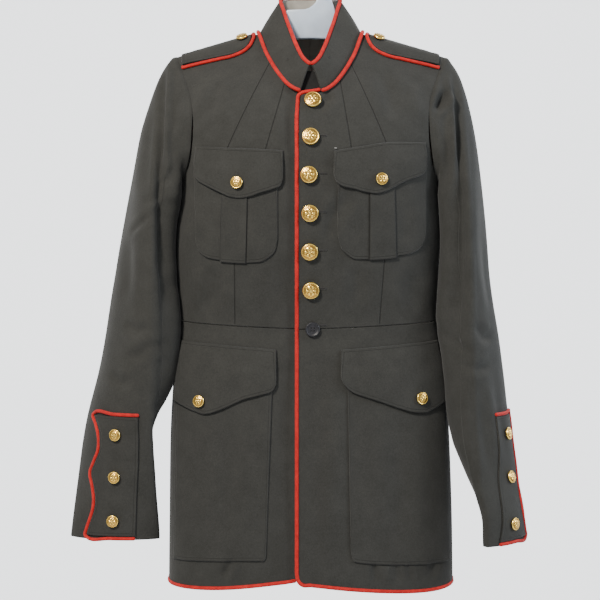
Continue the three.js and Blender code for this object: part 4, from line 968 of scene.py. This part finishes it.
# Sleeves
def sleeve(side):
    way = np.concatenate([
        [0, 0.004, 0.012], np.linspace(0.022, 1, 80), np.linspace(1, 1.994, 146)[1:], [1.9965, 1.9985, 2]])
    for name, first, last, plain_side in (("top_sleeve", -5, 6, 1), ("under_sleeve", 6, 15, 0)):
        s = np.linspace(first, last, 121)
        length = arc(sleeve_form(side, s[None, :], way[:, None]), 1)
        share = spaced(float(length[:, -1].mean()))
        steps = np.stack([np.interp(share * l[-1], l, s) for l in length])
        outer, normal = sleeve_skin(side, steps, way[:, None])
        shell(f"{name}_{hand(side)}", outer, outer - normal * THICK, WOOL, plain_side=plain_side)


# Collar
COLLAR_X = np.concatenate([NECK_FRONT["x"], NECK_BACK["x"]])
COLLAR_LEVEL = np.concatenate([NECK_FRONT["level"], NECK_BACK["level"]])
COLLAR_TOP = np.stack([
    np.concatenate([NECK_FRONT[key], NECK_BACK[key]]) for key in ("top_x", "top_y", "top_z")], -1)
RIDGE_STATION = len(NECK_FRONT["x"]) - 1


def collar_line(side, at):
    """Neckline, its outward facing, and the collar's top edge, by station from the opening back."""
    x, level = through(COLLAR_X, at), through(COLLAR_LEVEL, at)
    turn = turn_at(side * x, level)
    turn = np.where(at <= RIDGE_STATION, turn, behind(turn, side))
    base, facing = skin(turn, level)
    top = through(COLLAR_TOP, at) * [side, 1, 1]
    return base, facing, top


def collar_frame():
    at = np.linspace(0, len(COLLAR_X) - 1, 281)
    right, left = collar_line(-1, at), collar_line(1, at)
    base, facing, top = (np.concatenate([a, b[-2::-1]]) for a, b in zip(right, left))
    length = 0.5 * (arc(base, 0) + arc(top, 0))
    even = spaced(length[-1], 2.6) * length[-1]

    def pick(values):
        return np.stack([np.interp(even, length, values[:, k]) for k in range(3)], -1)

    base, facing, top = pick(base), unit(pick(facing)), pick(top)
    up = unit(top - base)
    base = base + up * 2 * SEAM
    out = unit(np.cross(up, np.gradient(base, axis=0) + np.gradient(top, axis=0)))
    return base, facing, top, up, out


def collar():
    base, facing, top, up, out = collar_frame()
    share = spaced(45, 2.6)[:, None, None]
    bow = 1.0 * np.sin(np.pi * share)
    ripple = 0.35 * np.sin(np.arange(len(base)) / 6.0)[None, :, None] * np.sin(np.pi * share)
    outer = lerp(base[None], top[None], share) + out[None] * (bow + ripple)
    inner = outer - out[None] * THICK
    shell("collar", outer, inner, WOOL)

    # The collar tab across the collar's front opening, in wool darkened with painted shade.
    u, v = np.meshgrid(spaced(38, 2.4), spaced(31, 2.4))
    x = lerp(-20, 18, u) * (1 - 0.35 * v)
    y = lerp(-72.5, -70, v) + 0.004 * x * x
    front = np.stack([x, y, lerp(701, 732, v)], -1)
    shell("collar_tab", front, front + [0, THICK, 0], SHADE_WOOL)
    return base, facing, top, up, out


# Pieces laid on the fronts
def patch(name, rows, side, lift):
    """A laid-on piece. Its lift is a function of the share of the way down, x and level."""
    x, level = lerp(rows["x"], rows["foot_x"], 0.5), lerp(rows["top"], rows["foot"], 0.5)
    middle = skin_point(turn_at(side * x, level), level)
    lengths = np.linalg.norm(np.diff(middle, axis=0), axis=1)
    at = [0.0, 0.8 / lengths[0]]
    for k, length in enumerate(lengths):
        steps = 4 if length < 1.6 else max(2, int(round(length / 2.6)))
        at += list(k + np.arange(1, steps + 1) / steps)
    at.insert(-1, len(lengths) - 0.8 / lengths[-1])
    at = np.array(at)
    row = {key: through(values, at) for key, values in rows.items()}
    tall = float(np.mean(rows["top"] - rows["foot"]))
    share = spaced(tall, 2.8)[:, None]
    level = lerp(row["top"], row["foot"], share)
    x = side * lerp(row["x"], row["foot_x"], share)
    turn = turn_at(x, level)
    base = lift(share, x, level)
    inner = skin(turn, level, base)[0]
    outer = skin(turn, level, base + PATCH + PLEAT * row["pleat"])[0]
    pleated = row["pleat"] > 0.5
    # Distance from the box pleat's folds, kept as seam_a: the cloth shader darkens these folds with painted
    # shade.
    away = np.full(x.shape, FAR)
    for k in np.flatnonzero(pleated[1:] != pleated[:-1]):
        away = np.minimum(away, np.abs(x - x[:, k:k + 1]))
    shell(name, outer, inner, WOOL_LAID, {"seam_a": away})


def pocket_lift(share, x, level):
    return 0.45 + 0.25 * np.sin(x / 13 + level / 37)


def flap_lift(share, x, level):
    return lerp(0.5, FLAP_FOOT, np.minimum(1, share * 2)) + 0.45 * share * np.sin(x / 9 + level / 60)


# Shoulder straps
def over_ridge(x, y, out):
    """Points over the shoulder ridge at a distance before it (y negative) or behind it."""
    x, y, out = np.broadcast_arrays(np.asarray(x, float), y, out)
    low, high = np.full(x.shape, 700.0), np.full(x.shape, RIDGE)
    side = np.sign(x)

    def turn(level):
        forward = turn_at(x, level)
        return np.where(y < 0, forward, behind(forward, side))

    for _ in range(36):
        level = (low + high) / 2
        short = np.abs(skin_point(turn(level), level)[..., 1]) > np.abs(y)
        low, high = np.where(short, level, low), np.where(short, high, level)
    return skin(turn(high), high, out)[0]


def strap_reach(x, y):
    return np.minimum(x, 195 - 0.5 * np.abs(y))


def strap(side):
    at = np.unique(np.concatenate([[0, 0.25], np.linspace(0.5, 6, 44), [5.97]]))
    across = spaced(40, 2.6)[:, None]
    y = lerp(through(STRAP["front"], at), through(STRAP["back"], at), across)
    x = side * strap_reach(through(STRAP["x"], at) + 0 * across, y)
    outer, inner = over_ridge(x, y, STRAP_LIFT + PATCH), over_ridge(x, y, STRAP_LIFT)
    shell(f"shoulder_strap_{hand(side)}", outer, inner, WOOL_LAID)
    aside = FINE_PIPING - 0.5
    front = [[x, y - aside] for x, y in zip(STRAP["x"], STRAP["front"])][::-1]
    back = [[x, y + aside] for x, y in zip(STRAP["x"], STRAP["back"])]
    for corner, inward in ((front[-2], 2), (front[-1], aside + 1), (back[0], aside + 1), (back[1], 2)):
        corner[0] -= inward
    route = np.array(front + back)
    x, y, _ = resample(np.column_stack([route, 0 * route[:, 0]]), 1.5).T
    path = over_ridge(side * strap_reach(x, y), y, STRAP_LIFT + 1.3)
    piping(f"piping_strap_{hand(side)}", path, FINE_PIPING)
    lift = STRAP_LIFT + PATCH + SEAM
    seat, above = (over_ridge(float(side * STRAP_BUTTON), float(STRAP_MIDDLE), lift + k) for k in (0, 1))
    domed_button(f"button_strap_{hand(side)}", seat, above - seat, False)


# Cuffs
def cuff_place(side, angle, level, out):
    """A place on the lower sleeve: degrees round its ring, level and height off the cloth."""
    angle, level, out = np.broadcast_arrays(np.asarray(angle, float), level, out)
    return sleeve_skin(side, angle / 360 * RING, 1 + (CAP_END - level) / (CAP_END - CUFF), out)


def cuff(side):
    rows = SLASH_LEFT if side > 0 else SLASH_RIGHT
    at = np.linspace(0, len(rows["level"]) - 1, 72)
    level, edge, outer_edge = (through(rows[key], at)[:, None] for key in ("level", "edge", "outer"))
    angle = lerp(edge, outer_edge, spaced(72, 2.6)[None, :])
    outer, inner = (cuff_place(side, angle, level, SLASH_LIFT + wall)[0] for wall in (PATCH, 0))
    shell(f"cuff_slash_{hand(side)}", outer, inner, WOOL_LAID)
    aside = FINE_PIPING + 0.3
    per_mm = np.degrees(1 / SLASH_GIRTH)

    def across(k, level):
        edge, outer_edge = rows["edge"][k], rows["outer"][k]
        return [(edge - 2 * per_mm, level), ((edge + outer_edge) / 2, level), (outer_edge + per_mm, level)]

    route = across(-1, rows["level"][-1] + aside)
    route += [(o - aside * per_mm, l) for l, o in zip(rows["level"][::-1], rows["outer"][::-1])]
    route += across(0, rows["level"][0] - aside)[::-1]
    flat = resample([(a, l, 0) for a, l in route], 1.2)
    path = cuff_place(side, flat[:, 0], flat[:, 1], 1.4)[0]
    piping(f"piping_cuff_{hand(side)}", resample(path[::2], 1.5), FINE_PIPING)
    for k, (level, right, left) in enumerate(CUFF_BUTTONS, 1):
        seat = cuff_place(side, left if side > 0 else right, float(level), SLASH_LIFT + PATCH + SEAM)
        domed_button(f"button_cuff_{hand(side)}_{k}", *seat, False)


# Buttons
def axes(normal):
    """Right and up across a face, so that the motif stands upright."""
    normal = unit(np.asarray(normal, float))
    up = np.array([0, 0, 1.0]) - normal * normal[2]
    if np.linalg.norm(up) < 0.3:
        up = np.array([0, 1.0, 0]) - normal * normal[1]
    up = unit(up)
    return np.cross(up, normal), up, normal


def domed_button(name, seat, normal, large):
    """A domed button with a raised rim and a plain rosette: a boss, petals and beads."""
    right, up, out = axes(normal)
    radius, rise, foot = (12.1, 7.6, 3.0) if large else (8.7, 5.3, 2.2)
    sectors = 96
    turn = np.arange(sectors) * 2 * np.pi / sectors
    r = np.concatenate([np.linspace(0.04, 0.9, 26), [0.93, 0.955, 0.98, 1.0]])
    rr, tt = np.meshgrid(r, turn, indexing="ij")
    dome = foot + (rise - foot) * np.sqrt(np.maximum(0, 1 - (rr * 0.93) ** 2))
    petals = np.cos(6 * tt)
    relief = 0.55 * np.exp(-((rr / 0.17) ** 4))
    relief += 0.6 * np.clip(petals + 0.45, 0, 1) * np.exp(-(((rr - 0.42) / 0.17) ** 4))
    relief += 0.35 * np.clip(-petals - 0.1, 0, 1) * np.exp(-(((rr - 0.60) / 0.1) ** 4))
    relief += 0.3 * np.clip(np.cos(24 * tt), 0, 1) * np.exp(-(((rr - 0.79) / 0.05) ** 2))
    relief += 0.75 * smoothstep(rr, 0.86, 0.91) * (1 - smoothstep(rr, 0.95, 1.0))
    scale = radius / 12.1
    height = dome + relief * scale
    # Painted shade for the brass: 1 in the hollows of the relief, falling to 0 on its raised parts and on the
    # rim.
    recess_shade = np.clip(1 - relief / 0.45, 0, 1) * np.clip((0.9 - rr) / 0.05, 0, 1)
    under = [(1.0, foot - 0.2), (0.985, foot - 0.7), (0.6, foot - 1.0), (0.26, foot - 1.1),
             (0.26, 0.2), (0.22, 0)]
    flat = np.ones((1, sectors))
    reach = np.concatenate([rr * radius] + [flat * share * radius for share, _ in under])
    tall = np.concatenate([height] + [flat * z for _, z in under])
    rows = len(reach)
    tt = np.tile(turn, (rows, 1))
    local = reach[..., None] * (np.cos(tt)[..., None] * right + np.sin(tt)[..., None] * up)
    points = (np.asarray(seat) + local + tall[..., None] * out).reshape(-1, 3)
    index, faces = tube_faces(rows, sectors, True)
    tip, base = len(points), len(points) + 1
    centre = np.asarray(seat) + out * (rise + 0.55 * scale)
    points = np.concatenate([points, [centre], [np.asarray(seat, float)]])
    faces += [[tip, int(a), int(b)] for a, b in zip(index[0], np.roll(index[0], -1))]
    faces += [[base, int(b), int(a)] for a, b in zip(index[-1], np.roll(index[-1], -1))]
    # The painted shade per point: the underside gets half, the tip of the boss none.
    dark = np.concatenate([recess_shade.ravel(), np.full((rows - len(r)) * sectors, 0.5), [0.0], [0.5]])
    mesh_object(f"{name}.brass", name, BRASS, points, faces, attributes={"recess_shade": dark})


def holed_button(name, seat, normal):
    """A flat dark button: a raised rim, a dished middle and four holes, with its thread."""
    right, up, out = axes(normal)
    seat = np.asarray(seat, float)
    sectors, hole = 64, 1.9
    turn = np.arange(sectors) * 2 * np.pi / sectors
    outline = [(3, 0), (3, 1.5), (9.6, 1.6), (10.4, 2.2), (10.4, 3.6), (9.9, 4.5), (9.2, 4.8), (8.4, 4.5),
               (7.4, 3.7), (6.4, 3.5), (5, 3.45)]
    ring = np.cos(turn)[:, None] * right + np.sin(turn)[:, None] * up
    points = np.concatenate([seat + reach * ring + tall * out for reach, tall in outline] + [[seat]])
    faces = tube_faces(len(outline), sectors)[1]
    faces += [[len(points) - 1, (a + 1) % sectors, a] for a in range(sectors)]
    # The middle is a grid that bends down steeply inside each hole
    size, start = 33, len(points)
    gx, gy = np.meshgrid(np.linspace(-1, 1, size), np.linspace(-1, 1, size))
    reach, turned = np.maximum(np.abs(gx), np.abs(gy)), np.arctan2(gy, gx)
    gx, gy = 5 * reach * np.cos(turned), 5 * reach * np.sin(turned)
    depth = np.zeros(gx.shape)
    for sx in (-1, 1):
        for sy in (-1, 1):
            depth += 1.7 * (1 - smoothstep(np.hypot(gx - sx * hole, gy - sy * hole), 0.75, 1.1))
    middle = seat + gx[..., None] * right + gy[..., None] * up + (3.45 - depth)[..., None] * out
    points = np.concatenate([points, middle.reshape(-1, 3)])
    faces += (quads(size, size) + start).tolist()
    mesh_object(f"{name}.horn", name, DARK, points, faces)
    share = np.linspace(-1, 1, 9)[:, None]
    for sy, place in ((-1, "low"), (1, "up")):
        path = seat + hole * (share * right + sy * up) + (3.6 - 1.2 * share**4) * out
        thread(f"{name}.thread_{place}", path, 0.45)

def front_seat(x, level, out):
    """A place on the fronts, at a height off the cloth, and the way it faces."""
    return skin(turn_at(float(x), float(level)), float(level), float(out))

def front_line(place, out):
    """Points on the fronts at rows of x and level."""
    return skin(turn_at(place[:, 0], place[:, 1]), place[:, 1], out)[0]

def buttonhole(name, x, level, across, half, out):
    """A worked buttonhole: two close lips of thread."""
    way = np.array([1.0, 0] if across else [0, 1.0])
    s = np.linspace(-1, 1, 13)[:, None]
    for k, mark in ((-1, "a"), (1, "b")):
        place = np.array([x, level]) + s * half * way + k * (0.9 - 0.5 * s**8) * way[::-1]
        thread(f"{name}_{mark}", front_line(place, out), 0.75)


# The garment
for side in (1, -1):
    front_skirt(side)
    front_upper(side)
    back_panel(side)
    sleeve(side)
    strap(side)
    cuff(side)
neck = collar()

for name, rows in PATCHES.items():
    patch(name, rows, 1 if name.endswith("left") else -1, flap_lift if "flap" in name else pocket_lift)


# Piping of the edges
def front_piping():
    """Down the left front's edge and along its hem, in one cord."""
    aside = PIPING + 0.2
    route = [(12, 703.5), (0, 701.7), (-9, 700.3), (-14.5, 698.5), (-17.4, 695), (-18.6, 684)]
    route += [(FRONT_EDGE - aside, level) for level in np.arange(665, 30, -35)]
    route += [(FRONT_EDGE - 2.7, 19), (FRONT_EDGE - 1.2, 12.1), (FRONT_EDGE + 2.1, 7.2),
              (FRONT_EDGE + 7.1, 4.0)]
    start, end = turn_at(FRONT_EDGE + HEM_CORNER, float(HEM_LEFT)), side_turn(0.0) - HEM_GAP
    k = np.linspace(0, 1, 26)
    hem_turn, hem_level = lerp(start, end, k), lerp(HEM_LEFT, -SIDE_DROP, k) - aside + 1.5
    x = np.append([p[0] for p in route], skin_point(hem_turn, hem_level)[:, 0])
    level = np.append([p[1] for p in route], hem_level)
    x, level, _ = resample(np.column_stack([x, level, 0 * x]), 2.0).T
    out = -0.7 - 0.2 * (1 - smoothstep(level, 4, 30))
    piping("piping_front", skin(np.minimum(turn_at(x, level), end), level, out)[0], PIPING)

def hem_piping(node, start, end, level_start, level_end, lift):
    k = np.linspace(0, 1, 180)
    turn, level = lerp(start, end, k), lerp(level_start, level_end, k) - PIPING + 0.9
    piping(node, skin(turn, level, lift(turn, level) - 0.8)[0], PIPING)

front_piping()
hem_piping("piping_hem_right", turn_at(FRONT_EDGE - 6, float(HEM_RIGHT)), HEM_GAP - side_turn(0.0),
           HEM_RIGHT, -SIDE_DROP, lap)
half_turn = side_turn(0.0, "back") - HEM_GAP
hem_piping("piping_hem_back", np.pi - half_turn, np.pi + half_turn, -2.8, -2.8, flat_out)


def collar_piping():
    base, facing, top, up, out = neck
    along = unit(np.gradient(top, axis=0))
    above = unit(np.cross(out, along))
    above *= np.sign((above * up).sum(-1))[:, None]
    path = resample(top[2:-2] + above[2:-2] * (PIPING + 0.1) - out[2:-2] * 0.9, 1.6)
    piping("piping_collar_top", path, PIPING)
    between = unit(facing + out)
    away = (PIPING + 0.3) / np.maximum(0.4, (between * out).sum(-1))
    path = resample(base[2:-2] + between[2:-2] * away[2:-2, None], 1.6)
    piping("piping_collar_seam", path, PIPING)


collar_piping()

# Buttons, buttonholes, eyelets and tacks
for number, (x, level) in enumerate(FRONT_BUTTONS, 1):
    domed_button(f"button_front_{number}", *front_seat(x, level, SEAM), True)
    if number > 1:
        buttonhole(f"buttonhole_front_{number}", BUTTONHOLE_X, level + 2, True, 5.6, 0.1)
buttonhole("buttonhole_waist", BUTTONHOLE_X, WAIST_FRONT + 6, True, 5.6, 0.1)
holed_button("button_waist", *front_seat(*WAIST_BUTTON, SEAM + 0.2))
for name, x, level in FLAP_BUTTONS:
    domed_button(name, *front_seat(x, level, FLAP_FOOT + PATCH + 0.4), False)
for name, x, level in (("chest_right", -101.6, 581), ("chest_left", 97.4, 586),
                       ("skirt_right", -155.6, 272), ("skirt_left", 154.6, 276)):
    buttonhole(f"buttonhole_{name}", x, level, False, 4.2, FLAP_FOOT + PATCH - 0.5)


def eyelet(name, x, level):
    """A worked eyelet through the collar, where its front passes a place in the front view."""
    base, facing, top, up, out = neck
    share = np.linspace(0, 1, 60)[:, None, None]
    grid = lerp(base[None], top[None], share)
    away = (grid[..., 0] - x) ** 2 + (grid[..., 2] - level) ** 2 + np.where(grid[..., 1] > -20, 1e6, 0)
    row, k = np.unravel_index(away.argmin(), away.shape)
    right, above, normal = axes(out[k])
    angle = np.linspace(0, 2 * np.pi, 25)[:, None]
    centre = grid[row, k] + normal * 1.1
    thread(name, centre + 1.7 * (np.cos(angle) * right + np.sin(angle) * above), 0.55)


def tack(name, x, level, out):
    """A short bar of pale thread."""
    place = np.array([[x - 1.1, level], [x, level + 0.2], [x + 1.1, level]])
    thread(name, front_line(place, out), 0.5, TACK)


eyelet("eyelet_collar_right", -32.2, 750)
eyelet("eyelet_collar_left", 25.5, 752)
tack("tack_chest_left", 34.3, 617, PATCH + 1.2)


# Hanger
def hanger():
    def arm_top(x):
        turn = turn_at(np.array(x, float), RIDGE)
        return skin_point(turn, RIDGE)[..., 2] - 2.2 - 4.2

    crown = np.array([(34, 834.5, 791), (46, 823, 787), (58, 808, 782), (68, 797, 777)])
    arm = np.array([(80, 771), (110, 758), (145, 745), (172, 738), (182, 748)], float)
    top = arm_top(arm[:, 0])
    top[-1] -= 6
    x = np.append(crown[:, 0], arm[:, 0])
    high, low = np.append(crown[:, 1], top), np.append(crown[:, 2], arm[:, 1])
    at = np.linspace(0, len(x) - 1, 90)
    x, high, low = through(x, at), through(high, at), through(low, at)
    boss = [(-8, 835.5), (-2, 837.5), (3, 841), (7.4, 845.5), (10, 851), (12, 858), (13, 866), (22, 866),
            (31, 866), (31, 858), (31.3, 851), (32.6, 845), (35, 839)]
    outline = list(zip(-x[::-1], high[::-1])) + boss + list(zip(x[3:], high[3:]))
    outline += list(zip(x[::-1], low[::-1])) + [(0, 792)] + list(zip(-x, low))
    flat = np.array(outline)
    step = np.roll(flat, -1, axis=0) - np.roll(flat, 1, axis=0)
    inward = unit(np.stack([step[:, 1], -step[:, 0]], -1))
    rings = []
    for y, inset in ((-5, 2.4), (-4.7, 1.2), (-4, 0.4), (-2.8, 0), (2.8, 0), (4, 0.4), (4.7, 1.2), (5, 2.4)):
        ring = flat + inward * inset
        rings.append(np.column_stack([ring[:, 0], np.full(len(ring), y), ring[:, 1]]))
    index, faces = tube_faces(len(rings), len(flat), True)
    faces += [index[0].tolist(), index[-1][::-1].tolist()]
    mesh_object("hanger_body.plate", "hanger_body", PLASTIC, np.concatenate(rings), faces)
    turn = np.linspace(0, np.pi, 40)
    path = [(22, 0, 866.4), (22, 0, 878)]
    path += [(22 * np.cos(a), 0, 888 + 22 * np.sin(a)) for a in turn]
    path += [(-23, 0, 878)]
    cord_mesh("hanger_hook.rod", "hanger_hook", PLASTIC, resample(path, 2.0), 3.5, 20)


hanger()

# Camera and light
camera_data = bpy.data.cameras.new("camera")
camera_data.lens = 72.84
camera_data.sensor_width = 36
camera = bpy.data.objects.new("camera", camera_data)
camera.location = (-0.0154, -1.8, -0.5015)
camera.rotation_euler = (np.pi / 2, 0, 0)
bpy.context.scene.collection.objects.link(camera)
bpy.context.scene.camera = camera


def lamp(name, place, aim, size, power, colour):
    data = bpy.data.lights.new(name, "AREA")
    data.shape = "DISK"
    data.size = size
    data.energy = power
    data.color = colour
    light = bpy.data.objects.new(name, data)
    light.location = place
    away = np.array(place) - np.array(aim)
    light.rotation_euler = (
        np.arctan2(np.hypot(away[0], away[1]), away[2]), 0, np.arctan2(away[0], -away[1]))
    bpy.context.scene.collection.objects.link(light)


MIDDLE = (0, 0, -0.45)
lamp("key", (-1.0, -1.7, 0.9), MIDDLE, 0.4, 94, (1.0, 0.94, 0.85))
lamp("fill", (1.9, -0.55, 0.2), MIDDLE, 0.9, 38, (0.86, 0.93, 1.0))
lamp("back_light", (0.5, 1.8, 0.8), MIDDLE, 1.4, 12, (1.0, 0.98, 0.95))

world = bpy.data.worlds.new("studio")
bpy.context.scene.world = world
world.use_nodes = True
background = world.node_tree.nodes["Background"]
background.inputs["Color"].default_value = (0.95, 0.97, 1.0, 1)
background.inputs["Strength"].default_value = 0.66

def staged(name, points, low, high, scale, roughness):
    """A flat face of the studio, which is no part of the object. Gives its shader."""
    mesh = bpy.data.meshes.new(name)
    mesh.from_pydata(points, [], [list(range(len(points)))])
    material = plain_material(name, low, high, scale, Roughness=roughness)
    mesh.materials.append(material)
    piece = bpy.data.objects.new(name, mesh)
    bpy.context.scene.collection.objects.link(piece)
    return material.node_tree.nodes["Principled BSDF"]

wall = staged("backdrop", [(-7, 3, -2.6), (7, 3, -2.6), (7, 3, 4), (-7, 3, 4)],
              (0.80, 0.81, 0.82), (0.82, 0.83, 0.84), 0.5, 1.0)
settings(wall, Emission_Color=(0.95, 0.975, 1.0, 1), Emission_Strength=1.7)
FLOOR_LEVEL, FLOOR_RADIUS = -1.35, 1.4
disc = [(FLOOR_RADIUS * np.cos(a), FLOOR_RADIUS * np.sin(a), FLOOR_LEVEL)
        for a in np.linspace(0, 2 * np.pi, 97)[:-1]]
staged("floor", disc, (0.62, 0.63, 0.64), (0.66, 0.67, 0.68), 3, 0.9)
